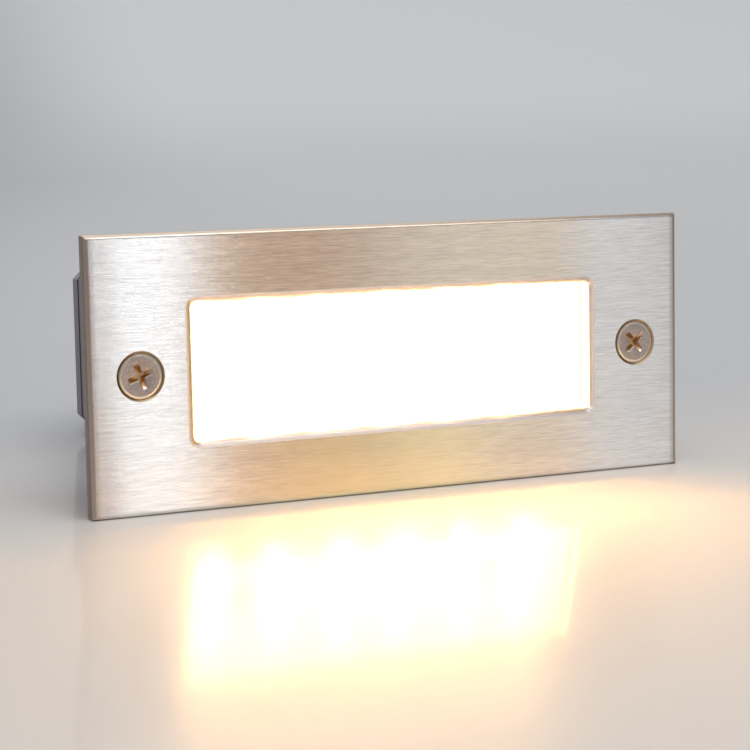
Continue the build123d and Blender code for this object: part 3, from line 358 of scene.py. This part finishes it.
def frontScrewFinish(name, look):
    # a turned screw whose head has a polished rim, smoother and painted lighter and warmer as a painted
    # highlight, and a recess painted bronze as painted warm light
    material = turnedSteel(name, look)
    tree = material.node_tree
    shader = tree.nodes["Principled BSDF"]
    x, y, z = axes(tree, place(tree))
    radius = distance(tree, minus(tree, unsigned(tree, x), look["axis"]), z)
    rim = span(tree, radius, *look["rimFrom"])
    # painted warm light inside the cross recess
    pit = times(tree, span(tree, y, *look["pitDepth"]), drop(tree, radius, *look["pitReach"]))
    plain = shader.inputs["Base Color"].links[0].from_socket
    coarse = shader.inputs["Roughness"].links[0].from_socket
    # painted highlight: the polished rim lighter and warmer
    colour = mixColour(tree, rim, plain, look["polishHighlight"])
    colour = mixColour(tree, times(tree, pit, look["bronzeAmount"]), colour, look["bronze"])
    rough = blendValue(tree, rim, coarse, look["polishRough"])
    paint(tree, shader, {"Base Color": colour, "Roughness": rough})
    return material


frontScrewLook = dict(screwLook, axis=46.15, polishHighlight=(0.9, 0.8, 0.66), polishRough=0.12,
                      rimFrom=(3.16, 3.28), bronze=(0.72, 0.47, 0.2), bronzeAmount=0.8,
                      pitDepth=(-3.03, -2.25), pitReach=(2.3, 2.5))
frontSteel = frontScrewFinish("frontScrewSteel", frontScrewLook)

# what every thread shares: welding distance, the degrees under which faces are joined, steps, half
# the profile's width as a share of the pitch, how deep its foot is sunk, and how far inside and
# outside the crest a shank's vertex may lie
threadShape = {"weld": 0.002, "flat": 1.0, "stepsPerTurn": 28, "halfWidth": 0.42, "sunk": 0.1,
               "inside": 0.6, "outside": 0.02}


def fromAxis(vert, x, z):
    return math.hypot(vert.co.x / mm - x, vert.co.z / mm - z)


def slimShank(builder, look, x, z):
    # the shank shrinks from the thread's crest to its root
    crest, root = look["crest"], look["root"]
    for vert in builder.verts:
        away = Vector((vert.co.x - x * mm, 0, vert.co.z - z * mm))
        onShank = crest - threadShape["inside"] < away.length / mm < crest + threadShape["outside"]
        if onShank and look["from"] <= vert.co.y / mm <= look["to"]:
            slim = away * ((away.length - (crest - root) * mm) / away.length)
            vert.co = Vector((x * mm, vert.co.y, z * mm)) + slim


def bevelRecess(builder, recess, x, z):
    # rounds the upright corners of the cross recess, then its rim
    face, reach = recess["face"], recess["reach"]
    inside = [v for v in builder.verts
              if fromAxis(v, x, z) < reach and v.co.y / mm < face + recess["depth"]]
    corners = [e for e in builder.edges
               if all(v in inside for v in e.verts)
               and abs(e.verts[0].co.y - e.verts[1].co.y) > recess["shortest"] * mm]
    bmesh.ops.bevel(builder, geom=corners, offset=recess["corner"] * mm, offset_type="OFFSET", segments=3,
                    profile=0.5, affect="EDGES", material=-1)
    rim = [e for e in builder.edges
           if all(abs(v.co.y / mm - face) < recess["level"] and fromAxis(v, x, z) < reach for v in e.verts)
           and len(e.link_faces) == 2 and e.calc_face_angle(0) > recess["rimAngle"]]
    bmesh.ops.bevel(builder, geom=rim, offset=recess["rim"] * mm, offset_type="OFFSET", segments=2,
                    profile=0.5, affect="EDGES", material=-1)


def windThread(builder, look, x, z):
    # a three-cornered profile spun along the shank
    start = look["threadFrom"]
    turns = (look["threadTo"] - start) / look["pitch"]
    steps = int(turns * threadShape["stepsPerTurn"])
    half = threadShape["halfWidth"] * look["pitch"]
    foot = look["root"] - threadShape["sunk"]
    points = [(foot, start - half), (foot, start + half), (look["crest"], start)]
    corners = [builder.verts.new(((x + r) * mm, depth * mm, z * mm)) for r, depth in points]
    profile = builder.faces.new(corners)
    climb = Vector((0, look["pitch"] * turns / steps * mm, 0))
    bmesh.ops.spin(builder, geom=[profile] + list(profile.edges) + corners, cent=(x * mm, 0, z * mm),
                   axis=(0, 1, 0), dvec=climb, angle=turns * 2 * math.pi, steps=steps, use_merge=False)


def pieceFrom(builder, name, body, material, stands, sharp=32.0):
    # a finished mesh as one object: smooth shaded, sharp edges kept, riding on its body
    mesh = bpy.data.meshes.new(name)
    builder.to_mesh(mesh)
    builder.free()
    mesh.materials.append(material)
    mesh.shade_smooth()
    mesh.set_sharp_from_angle(angle=math.radians(sharp))
    piece = bpy.data.objects.new(name, mesh)
    scene.collection.objects.link(piece)
    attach(piece, body)
    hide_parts(*stands)


def threadedScrews(name, node, body, look, material):
    # a merged copy of the CAD screws, slimmed and given threads
    builder = bmesh.new()
    builder.from_mesh(nodes[node].data)
    bmesh.ops.remove_doubles(builder, verts=builder.verts, dist=threadShape["weld"] * mm)
    bmesh.ops.dissolve_limit(builder, angle_limit=math.radians(threadShape["flat"]), verts=builder.verts,
                             edges=builder.edges)
    for x, z in look["axes"]:
        slimShank(builder, look, x, z)
    if "recess" in look:
        bevelRecess(builder, look["recess"], *look["axes"][0])
    for x, z in look["axes"]:
        windThread(builder, look, x, z)
    bmesh.ops.recalc_face_normals(builder, faces=builder.faces)
    pieceFrom(builder, name, body, material, (node,))


frontForm = {"crest": 1.95, "root": 1.62, "pitch": 0.7, "from": 0.2, "to": 10.9,
             "threadFrom": 0.9, "threadTo": 9.9,
             "recess": {"face": -3.15, "reach": 2.6, "depth": 1.6, "shortest": 0.8, "corner": 0.22,
                        "level": 0.02, "rimAngle": 0.5, "rim": 0.07}}
for side, x in (("left", -46.15), ("right", 46.15)):
    form = dict(frontForm, axes=[(x, 0)])
    threadedScrews(f"threaded_screw_{side}", f"front_screw_{side}", f"{side}_front_screw", form, frontSteel)
coverForm = {"crest": 1.2, "root": 0.92, "pitch": 0.9, "from": 39.0, "to": 49.6,
             "threadFrom": 40.6, "threadTo": 48.6,
             "axes": [(x, z) for x in (-34.0, 34.0) for z in (-9.6, 9.6)]}
threadedScrews("threaded_cover_screws", "cover_screws", "back_cover", coverForm, screwSteel)
engineForm = {"crest": 1.45, "root": 1.12, "pitch": 1.0, "from": 6.6, "to": 17.6,
              "threadFrom": 8.6, "threadTo": 16.4, "axes": [(-24.0, 0), (24.0, 0)]}
threadedScrews("threaded_engine_screws", "light_engine_screws", "housing", engineForm, screwSteel)
print("fasteners plated and threaded")

# what a plain finish has unless its own dictionary says otherwise
plainLook = {"spread": 0.12, "stretch": (1, 1, 1), "blotch": 0.25, "grain": 6.0, "speckle": 0.25,
             "speckleFrom": (0.62, 0.75), "soften": 0.25, "wear": 0.45, "wearAngle": (0.8, 0.99),
             "wearPatches": (0.4, 0.6, 0.4, 1.0), "paler": 1.7, "lift": 0.02, "swing": 0.12,
             "metal": 0.0, "coat": 0.0, "coatRough": 0.12, "depth": 0.02, "strength": 0.6}


def finish(name, ownLook):
    # moulded, cast or sheet finish: blotches, grain, a little wear, roughness and bump
    look = {**plainLook, **ownLook}
    colour = look["colour"]
    material, tree, shader = newMaterial(name)
    light = tuple(min(1.0, c * (1 + look["spread"])) for c in colour)
    dark = tuple(c * (1 - look["spread"]) for c in colour)
    millimetres = place(tree, look["stretch"])
    blotch = noise(tree, millimetres, look["blotch"], detail=4.0)
    grain = noise(tree, millimetres, look["grain"])
    base = mottle(tree, blotch, dark, light)
    speckle = span(tree, grain, *look["speckleFrom"], 0.0, look["speckle"])
    base = mixColour(tree, speckle, base, look.get("speck", light))
    # edges are rounded in the shading, and rubbed paler in patches
    rounded = add(tree, "ShaderNodeBevel", {"Radius": look["soften"] * mm}, samples=4).outputs[0]
    flat = add(tree, "ShaderNodeNewGeometry").outputs["Normal"]
    product = add(tree, "ShaderNodeVectorMath", {0: rounded, 1: flat}, operation="DOT_PRODUCT")
    facing = product.outputs["Value"]
    patches = span(tree, blotch, *look["wearPatches"])
    rubbed = times(tree, times(tree, drop(tree, facing, *look["wearAngle"]), patches), look["wear"])
    paler = tuple(min(1.0, c * look["paler"] + look["lift"]) for c in colour)
    paint(tree, shader, {
        "Base Color": mixColour(tree, rubbed, base, paler),
        "Roughness": roughened(tree, grain, look["rough"] - look["swing"], look["rough"] + look["swing"]),
        "Metallic": look["metal"],
        "Coat Weight": look["coat"],
        "Coat Roughness": look["coatRough"],
    })
    bump(tree, shader, grain, look["depth"], look["strength"], rounded)
    return material


housingLook = {"colour": (0.31, 0.28, 0.315), "spread": 0.1, "rough": 0.55, "grain": 3.2, "blotch": 0.09,
               "speckle": 0.18, "speck": (0.25, 0.235, 0.27), "depth": 0.03}
rubberLook = {"colour": (0.032, 0.032, 0.034), "spread": 0.25, "rough": 0.82, "grain": 4.5, "depth": 0.03,
              "speckle": 0.3, "speck": (0.07, 0.07, 0.072)}
glandLook = {"colour": (0.03, 0.03, 0.032), "spread": 0.2, "rough": 0.42, "grain": 3.6,
             "speckle": 0.2, "speck": (0.06, 0.06, 0.063)}
padLook = {"colour": (0.3, 0.4, 0.5), "rough": 0.75, "grain": 5.0, "speckle": 0.3}
aluminiumLook = {"colour": (0.78, 0.78, 0.79), "spread": 0.08, "rough": 0.38, "grain": 1.2, "metal": 1.0,
                 "stretch": (0.15, 4, 4), "depth": 0.006}
epoxyLook = {"colour": (0.024, 0.024, 0.026), "spread": 0.2, "rough": 0.5, "grain": 8.0, "depth": 0.012,
             "speckle": 0.3, "speck": (0.05, 0.05, 0.052)}
terminalLook = {"colour": (0.045, 0.3, 0.11), "spread": 0.1, "rough": 0.36, "grain": 4.0, "depth": 0.01,
                "coat": 0.15}
ferriteLook = {"colour": (0.07, 0.066, 0.066), "spread": 0.25, "rough": 0.62, "grain": 5.0, "depth": 0.03,
               "speckle": 0.4, "speck": (0.13, 0.125, 0.12), "metal": 0.3}
bobbinLook = {"colour": (0.07, 0.055, 0.045), "spread": 0.15, "rough": 0.38, "grain": 4.0, "depth": 0.012}
filmLook = {"colour": (0.72, 0.55, 0.1), "spread": 0.08, "rough": 0.4, "grain": 3.5, "depth": 0.012,
            "coat": 0.1}
varistorLook = {"colour": (0.02, 0.1, 0.34), "spread": 0.2, "rough": 0.4, "grain": 2.2, "depth": 0.05,
                "coat": 0.3}
redLeadLook = {"colour": (0.58, 0.03, 0.02), "spread": 0.1, "rough": 0.42, "grain": 3.0, "depth": 0.008}
blackLeadLook = {"colour": (0.03, 0.03, 0.03), "spread": 0.2, "rough": 0.42, "grain": 3.0, "depth": 0.008}
lampLook = {"colour": (0.88, 0.87, 0.83), "spread": 0.04, "rough": 0.4, "depth": 0.006}
plainFinishes = (
    ("housingPlastic", housingLook, ("housing", "back_cover")),
    ("rubber", rubberLook, ("wall_gasket", "lens_seal", "cover_seal", "lead_grommet", "gland_washer",
                            "gland_seal")),
    ("glandNylon", glandLook, ("gland_body", "lock_nut", "gland_clamp", "gland_cap")),
    ("thermalPad", padLook, ("thermal_pad",)),
    ("millAluminium", aluminiumLook, ("heat_spreader",)),
    ("blackEpoxy", epoxyLook, ("bridge_rectifier",)),
    ("terminalGreen", terminalLook, ("terminal_block",)),
    ("ferrite", ferriteLook, ("transformer_core",)),
    ("bobbinResin", bobbinLook, ("transformer_bobbin",)),
    ("filmCase", filmLook, ("film_capacitor",)),
    ("varistorDip", varistorLook, ("varistor",)),
    ("redInsulation", redLeadLook, ("lead_plus",)),
    ("blackInsulation", blackLeadLook, ("lead_minus",)),
    ("lampCase", lampLook, ("leds",)),
)
for name, look, pieces in plainFinishes:
    dress(finish(name, look), *pieces)
print("plain finishes done")

tinned = (0.74, 0.73, 0.7)  # the tin on legs and pads
tinRough = 0.26


def stripes(tree, value, step, share, soft=0.02):
    # lines across the value, share of each step wide
    middle = unsigned(tree, minus(tree, stepPart(tree, value, step), 0.5))
    return drop(tree, middle, share / 2 - soft, share / 2 + soft)


def paintPart(tree, shader, base, metal, rough, height, relief, strength=0.7):
    # colour, metal share, roughness and relief of a part on the board
    paint(tree, shader, {"Base Color": base, "Metallic": metal, "Roughness": rough})
    bump(tree, shader, height, relief, strength)


# circuit boards: traces turn from patch to patch, tinned pads on a grid, bare core at the rim
def boardFinish(name, look):
    material, tree, shader = newMaterial(name)
    millimetres = place(tree)
    sides = axes(tree, millimetres)
    along, across, level = (sides[i] for i in look["axes"])
    patchInputs = {"Vector": millimetres, "Scale": look["patches"], "Randomness": look["randomness"]}
    patch = add(tree, "ShaderNodeTexVoronoi", patchInputs, distance="CHEBYCHEV").outputs["Color"]
    turn = span(tree, axes(tree, patch)[0], *look["turnAt"])
    traces = [stripes(tree, value, look["traceStep"], look["traceShare"]) for value in (along, across)]
    trace = blendValue(tree, turn, *traces)
    step = look["padStep"]
    cell = [math2(tree, "FLOOR", math2(tree, "DIVIDE", value, step)) for value in (along, across)]
    cellPlace = add(tree, "ShaderNodeCombineXYZ", dict(enumerate(cell))).outputs[0]
    chance = add(tree, "ShaderNodeTexWhiteNoise", {"Vector": cellPlace}).outputs[0]
    inCell = [minus(tree, stepPart(tree, value, step), 0.5) for value in (along, across)]
    fromPad = distance(tree, *inCell)
    pad = times(tree, drop(tree, fromPad, *look["padFade"]), span(tree, chance, *look["padChance"]))
    hole = times(tree, drop(tree, fromPad, *look["holeFade"]), pad)
    grain = noise(tree, millimetres, look["grain"])
    base = mottle(tree, grain, look["mask"], look["maskLight"])
    base = mixColour(tree, times(tree, trace, look["traceAmount"]), base, look["trace"])
    base = mixColour(tree, pad, base, look["tin"])
    base = mixColour(tree, hole, base, look["core"])
    rim = between(tree, level, *look["rim"], soft=look["rimSoft"])
    base = mixColour(tree, rim, base, look["core"])
    metal = times(tree, pad, drop(tree, rim, 0.0, 1.0))
    rough = blendValue(tree, metal, roughened(tree, grain, *look["rough"]), look["padRough"])
    paintPart(tree, shader, base, metal, rough, plus(tree, trace, pad), look["relief"])
    return material


# both boards: patches to a millimetre, the traces' share of their step, and in shares of a cell the
# edges of a pad and of its hole
boardLook = {"patches": 0.14, "randomness": 0.8, "turnAt": (0.49, 0.51), "traceShare": 0.5,
             "traceAmount": 0.85, "padChance": (0.8, 0.81), "padFade": (0.27, 0.31),
             "holeFade": (0.1, 0.13), "rimSoft": 0.03, "rough": (0.3, 0.42), "padRough": 0.24,
             "grain": 7.0, "relief": 0.035}
driverBoardLook = dict(boardLook, axes=(0, 1, 2), rim=(-5.97, -4.43), traceStep=1.5, padStep=2.54,
                       mask=(0.012, 0.12, 0.05), maskLight=(0.02, 0.15, 0.062), trace=(0.04, 0.24, 0.1),
                       tin=tinned, core=(0.4, 0.37, 0.2))
ledBoardLook = dict(boardLook, axes=(0, 2, 1), rim=(7.23, 8.77), traceStep=2.2, padStep=3.0,
                    mask=(0.8, 0.8, 0.78), maskLight=(0.88, 0.88, 0.86), trace=(0.72, 0.72, 0.7),
                    tin=(0.78, 0.77, 0.74), core=(0.62, 0.62, 0.63))
dress(boardFinish("driverBoardGreen", driverBoardLook), "driver_board")
dress(boardFinish("ledBoardWhite", ledBoardLook), "led_board")


# electrolytic cans: printed sleeve with one pale stripe, bare scored top
def canFinish(name, look):
    material, tree, shader = newMaterial(name)
    millimetres = place(tree, offset=look["centre"])
    x, y, z = axes(tree, millimetres)
    radius = distance(tree, x, y)
    fromStripe = unsigned(tree, minus(tree, math2(tree, "ARCTAN2", y, x), look["stripeAt"]))
    stripe = drop(tree, fromStripe, look["stripeHalf"], look["stripeHalf"] + look["stripeSoft"])
    grain = noise(tree, millimetres, look["grain"])
    sleeve = mottle(tree, grain, look["sleeve"], look["sleeveLight"])
    sleeve = mixColour(tree, stripe, sleeve, look["stripe"])
    onTop = span(tree, z, *(look["top"] - below for below in look["topFade"]))
    bare = times(tree, drop(tree, radius, look["bare"] - look["bareSoft"], look["bare"]), onTop)
    nearest = math2(tree, "MINIMUM", unsigned(tree, x), unsigned(tree, y))
    scoreEnd = drop(tree, radius, *(look["bare"] * share for share in look["scoreReach"]))
    score = times(tree, times(tree, drop(tree, nearest, *look["scoreFade"]), scoreEnd), bare)
    base = mixColour(tree, bare, sleeve, look["metal"])
    base = mixColour(tree, times(tree, score, look["scoreAmount"]), base, look["score"])
    rough = blendValue(tree, bare, roughened(tree, grain, *look["rough"]), look["bareRough"])
    height = minus(tree, grain, times(tree, score, look["scoreDepth"]))
    paintPart(tree, shader, base, bare, rough, height, look["relief"])
    return material


canLook = {"sleeve": (0.016, 0.017, 0.02), "sleeveLight": (0.03, 0.031, 0.036),
           "stripe": (0.42, 0.43, 0.46), "stripeHalf": 0.42, "stripeSoft": 0.03,
           "metal": (0.76, 0.76, 0.77), "topFade": (0.5, 0.4), "bareSoft": 0.06,
           "score": (0.2, 0.2, 0.2), "scoreAmount": 0.6, "scoreDepth": 4.0, "scoreFade": (0.08, 0.14),
           "scoreReach": (0.7, 0.74), "rough": (0.34, 0.46), "bareRough": 0.3, "grain": 4.0,
           "relief": 0.03}
inputCanLook = dict(canLook, centre=(-15.0, 31.4, 0.0), top=7.6, bare=3.3, stripeAt=1.1)
outputCanLook = dict(canLook, centre=(21.0, 32.0, 0.0), top=6.6, bare=2.5, stripeAt=1.9)
dress(canFinish("inputCan", inputCanLook), "input_capacitor")
dress(canFinish("outputCan", outputCanLook), "output_capacitor")


# black packages whose legs are tinned beyond the body, with a moulded dimple by leg one
def packageFinish(name, look):
    material, tree, shader = newMaterial(name)
    millimetres = place(tree)
    sides = axes(tree, millimetres)
    legs = beyond(tree, sides[look["axis"]], look["middle"], look["half"])
    grain = noise(tree, millimetres, look["grain"])
    epoxy = mixColour(tree, span(tree, grain, *look["contrast"]), look["dark"], look["light"])
    fromDot = distance(tree, *(minus(tree, sides[i], look["dot"][i]) for i in (0, 1)))
    dot = drop(tree, fromDot, *look["dotFade"])
    epoxy = mixColour(tree, dot, epoxy, look["dotColour"])
    base = mixColour(tree, legs, epoxy, tinned)
    rough = blendValue(tree, legs, roughened(tree, grain, *look["rough"]), tinRough)
    paintPart(tree, shader, base, legs, rough, minus(tree, grain, dot), look["relief"])
    return material


packageLook = {"dark": (0.016, 0.016, 0.018), "light": (0.034, 0.034, 0.037), "grain": 8.0,
               "contrast": (0.35, 0.65), "dotColour": (0.06, 0.06, 0.065), "dotFade": (0.3, 0.36),
               "rough": (0.45, 0.6), "relief": 0.02}
chipLook = dict(packageLook, axis=0, middle=-5.4, half=1.93, dot=(-6.6, 24.4))
diodeLook = dict(packageLook, axis=1, middle=24.4, half=2.16, dot=(20.6, 22.9))
dress(packageFinish("chipPackage", chipLook), "driver_chip")
dress(packageFinish("diodePackage", diodeLook), "output_diode")


# fusible resistor: lacquered barrel with four rings, tinned legs
def resistorFinish(name, look):
    material, tree, shader = newMaterial(name)
    millimetres = place(tree)
    _, y, z = axes(tree, millimetres)
    grain = noise(tree, millimetres, look["grain"])
    base = mottle(tree, grain, look["lacquerDark"], look["lacquer"])
    for ringAt, ringColour in look["rings"]:
        ring = between(tree, y, ringAt - look["ringWidth"] / 2, ringAt + look["ringWidth"] / 2)
        base = mixColour(tree, ring, base, ringColour)
    legs = larger(tree, beyond(tree, y, look["middle"], look["half"]), drop(tree, z, *look["underside"]))
    base = mixColour(tree, legs, base, tinned)
    rough = blendValue(tree, legs, roughened(tree, grain, *look["rough"]), tinRough)
    paintPart(tree, shader, base, legs, rough, grain, look["relief"])
    return material


resistorLook = {"lacquer": (0.2, 0.36, 0.42), "lacquerDark": (0.16, 0.3, 0.36), "grain": 5.0,
                "rough": (0.32, 0.46), "relief": 0.02, "middle": 27.0, "half": 4.0,
                "underside": (-4.2, -4.1), "ringWidth": 0.62,
                "rings": ((24.9, (0.16, 0.05, 0.02)), (26.3, (0.012, 0.012, 0.012)),
                          (27.7, (0.012, 0.012, 0.012)), (29.4, (0.62, 0.42, 0.12)))}
dress(resistorFinish("resistorLacquer", resistorLook), "fusible_resistor")


# transformer coil: yellow tape wound in overlapping turns, one end of it stuck down
def coilFinish(name, look):
    material, tree, shader = newMaterial(name)
    x, y, z = axes(tree, place(tree))
    grain = noise(tree, place(tree, look["stretch"]), look["grain"])
    slant = plus(tree, minus(tree, z, look["lowest"]), times(tree, x, look["slope"]))
    turnPart = stepPart(tree, slant, look["turn"])
    base = mottle(tree, grain, look["tapeDark"], look["tape"])
    seam = drop(tree, turnPart, *look["seamFade"])
    endLine = between(tree, x, *look["endAt"], soft=look["endSoft"])
    tapeEnd = times(tree, endLine, span(tree, y, *look["endSide"]))
    for line in (seam, tapeEnd):
        base = mixColour(tree, times(tree, line, look["overlapAmount"]), base, look["overlap"])
    paint(tree, shader, {"Base Color": base, "Roughness": roughened(tree, grain, *look["rough"])})
    height = plus(tree, turnPart, times(tree, grain, look["grainShare"]))
    bump(tree, shader, height, look["relief"], look["strength"])
    return material


coilLook = {"tape": (0.8, 0.58, 0.08), "tapeDark": (0.66, 0.44, 0.05), "overlap": (0.4, 0.24, 0.03),
            "overlapAmount": 0.7, "turn": 2.9, "lowest": -3.0, "slope": 0.06, "seamFade": (0.0, 0.07),
            "endAt": (11.3, 11.5), "endSoft": 0.05, "endSide": (29.0, 29.1), "grain": 2.0,
            "stretch": (0.5, 0.5, 3.0), "rough": (0.26, 0.38), "grainShare": 0.3, "relief": 0.06,
            "strength": 0.8}
dress(coilFinish("coilTape", coilLook), "transformer_coil")
print("board parts finished")

# lit reflector, phosphors and lens: mottled surfaces that give off the lamp's warm light; the phosphors are
# the lamp, the reflector's and lens's glow is painted light
lampWarm = (1.0, 0.58, 0.21, 1.0)


def glowing(name, look):
    material, tree, shader = newMaterial(name)
    grain = noise(tree, place(tree), look["grain"], roughness=look["grainRoughness"])
    paint(tree, shader, {
        "Base Color": mottle(tree, grain, look["dark"], look["light"]),
        "Roughness": roughened(tree, grain, *look["rough"]),
        "Emission Color": lampWarm,
        "Emission Strength": look["glow"],
    })
    bump(tree, shader, grain, look["depth"], look["strength"])
    return material, tree, shader


# the reflector's painted glow grows a little with depth on its walls, and is strongest on its floor
reflectorLook = {"dark": (0.86, 0.85, 0.82), "light": (0.93, 0.92, 0.9), "grain": 2.5,
                 "grainRoughness": 0.5, "rough": (0.24, 0.38), "depth": 0.01, "strength": 0.4,
                 "glow": 2.2, "deepGlow": 2.75, "wall": (1.1, 6.3), "floorGlow": 2.2, "floor": (6.3, 6.4)}
phosphorLook = {"dark": (0.85, 0.58, 0.1), "light": (0.98, 0.74, 0.2), "grain": 9.0, "grainRoughness": 0.6,
                "rough": (0.2, 0.32), "depth": 0.02, "strength": 0.5, "glow": 450.0}
lensLook = {"dark": (0.94, 0.93, 0.9), "light": (0.98, 0.97, 0.95), "grain": 3.0, "grainRoughness": 0.6,
            "rough": (0.06, 0.14), "depth": 0.004, "strength": 0.3, "glow": 2.6, "alpha": 0.3}
reflectorWhite, tree, shader = glowing("reflectorWhite", reflectorLook)
inward = axes(tree, place(tree))[1]
wallGlow = span(tree, inward, *reflectorLook["wall"], reflectorLook["glow"], reflectorLook["deepGlow"])
floorGlow = span(tree, inward, *reflectorLook["floor"], 0.0, reflectorLook["floorGlow"])
paint(tree, shader, {"Emission Strength": plus(tree, wallGlow, floorGlow)})
phosphorGel = glowing("phosphorGel", phosphorLook)[0]
lensGlass, tree, shader = glowing("lensGlass", lensLook)
paint(tree, shader, {"Alpha": lensLook["alpha"]})
dress(reflectorWhite, "reflector")
dress(phosphorGel, "led_phosphors")
dress(lensGlass, "lens")
print("light engine lit")

# pale floor that bends up into the backdrop: sizes in metres, and levels of its colours in millimetres
stageLook = {"tilt": 6.5, "front": 1.2, "side": 1.6, "back": 0.42, "bend": 0.25, "bendSteps": 20,
             "rise": 1.2, "nearLampGlow": (0.66, 0.61, 0.56), "behind": (0.505, 0.505, 0.51),
             "behindFrom": (-25.0, -15.0), "wallLeftShade": (0.35, 0.365, 0.385),
             "wallRight": (0.63, 0.64, 0.645), "wallAcross": (10.0, 160.0), "farFrom": (-5.0, 60.0),
             "nearRough": 0.3, "farRough": 0.6, "specular": 0.1, "coat": 0.6, "coatRough": 0.055}
tilt = math.radians(stageLook["tilt"])
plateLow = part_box("faceplate")[0]
builder = bmesh.new()
bmesh.ops.create_grid(builder, x_segments=1, y_segments=1, size=1.0)
for vert in builder.verts:
    vert.co.x *= stageLook["side"]
    vert.co.y = stageLook["back"] if vert.co.y > 0 else -stageLook["front"]
rear = [edge for edge in builder.edges if all(v.co.y > 0 for v in edge.verts)]
bendCentre = Vector((0, stageLook["back"], stageLook["bend"]))
spun = bmesh.ops.spin(builder, geom=rear, cent=bendCentre, axis=(1, 0, 0), angle=math.pi / 2 - tilt,
                      steps=stageLook["bendSteps"])
lastEdges = [item for item in spun["geom_last"] if isinstance(item, bmesh.types.BMEdge)]
raised = bmesh.ops.extrude_edge_only(builder, edges=lastEdges)
topVerts = [item for item in raised["geom"] if isinstance(item, bmesh.types.BMVert)]
wallWay = Vector((0, math.sin(tilt), math.cos(tilt))) * stageLook["rise"]
bmesh.ops.translate(builder, verts=topVerts, vec=wallWay)
bmesh.ops.rotate(builder, verts=builder.verts, cent=(0, 0, 0), matrix=Matrix.Rotation(tilt, 3, "X"))
bmesh.ops.translate(builder, verts=builder.verts, vec=(0, plateLow.y, plateLow.z))
bmesh.ops.recalc_face_normals(builder, faces=builder.faces)
stageMesh = bpy.data.meshes.new("tableTop")
builder.to_mesh(stageMesh)
builder.free()
stageMesh.shade_smooth()
tableTop = bpy.data.objects.new("tableTop", stageMesh)
scene.collection.objects.link(tableTop)
paleTop, tree, shader = newMaterial("paleTop")
x, _, z = axes(tree, place(tree))
far = span(tree, z, *stageLook["farFrom"], smooth=True)
behind = span(tree, z, *stageLook["behindFrom"], smooth=True)
# the floor painted warmer in front, as painted lamp glow
floorColour = mixColour(tree, behind, stageLook["nearLampGlow"], stageLook["behind"])
# painted shade: the backdrop darker to the left
rightward = span(tree, x, *stageLook["wallAcross"], smooth=True)
wallColour = mixColour(tree, rightward, stageLook["wallLeftShade"], stageLook["wallRight"])
paint(tree, shader, {
    "Base Color": mixColour(tree, far, floorColour, wallColour),
    "Roughness": blendValue(tree, far, stageLook["nearRough"], stageLook["farRough"]),
    "Specular IOR Level": stageLook["specular"],
    "Coat Weight": blendValue(tree, far, stageLook["coat"], 0.0),
    "Coat Roughness": stageLook["coatRough"],
})
stageMesh.materials.append(paleTop)
print("floor laid")


def softbox(name, look):
    data = bpy.data.lights.new(name, "AREA")
    data.shape = "RECTANGLE"
    data.size, data.size_y = look["size"]
    data.energy = look["power"]
    data.color = look["colour"]
    lamp = bpy.data.objects.new(name, data)
    lamp.location = look["place"]
    aim = Vector(look["aim"]) - Vector(look["place"])
    lamp.rotation_euler = aim.to_track_quat("-Z", "Y").to_euler()
    scene.collection.objects.link(lamp)


topLook = {"size": (1.6, 1.2), "power": 20.0, "colour": (1, 1, 1), "place": (0.1, -0.5, 1.5),
           "aim": (0, 0, 0)}
softbox("topLight", topLook)
# tall panels in front, side by side, that the brushed plate draws up into bands; they stand round the
# plate's left part, turned from its normal by their azimuths
bandLook = {"middle": -0.046, "away": 1.5, "level": -0.1, "height": 1.3}
bands = ({"name": "stripLight", "azimuth": 19.85, "width": 0.046, "glow": 2.15, "colour": (0.92, 0.96, 1)},
         {"name": "warmPanel", "azimuth": 24.4, "width": 0.137, "glow": 0.2, "colour": (1, 0.42, 0.14)},
         {"name": "sidePanel", "azimuth": 32.6, "width": 0.27, "glow": 0.38, "colour": (0.98, 0.99, 1)})
for band in bands:
    turned = math.radians(band["azimuth"])
    size = (band["width"], bandLook["height"])
    spot = (bandLook["middle"] + bandLook["away"] * math.sin(turned), -bandLook["away"] * math.cos(turned),
            bandLook["level"])
    softbox(band["name"], {"size": size, "power": band["glow"] * math.pi * size[0] * size[1],
                           "colour": band["colour"], "place": spot, "aim": (bandLook["middle"], 0, 0)})
studioLook = {"Color": (0.93, 0.95, 1.0, 1.0), "Strength": 0.36}
world = bpy.data.worlds.new("studio")
scene.world = world
world.use_nodes = True
paint(world.node_tree, world.node_tree.nodes["Background"], studioLook)
print("lights set")

bpy.context.view_layer.update()
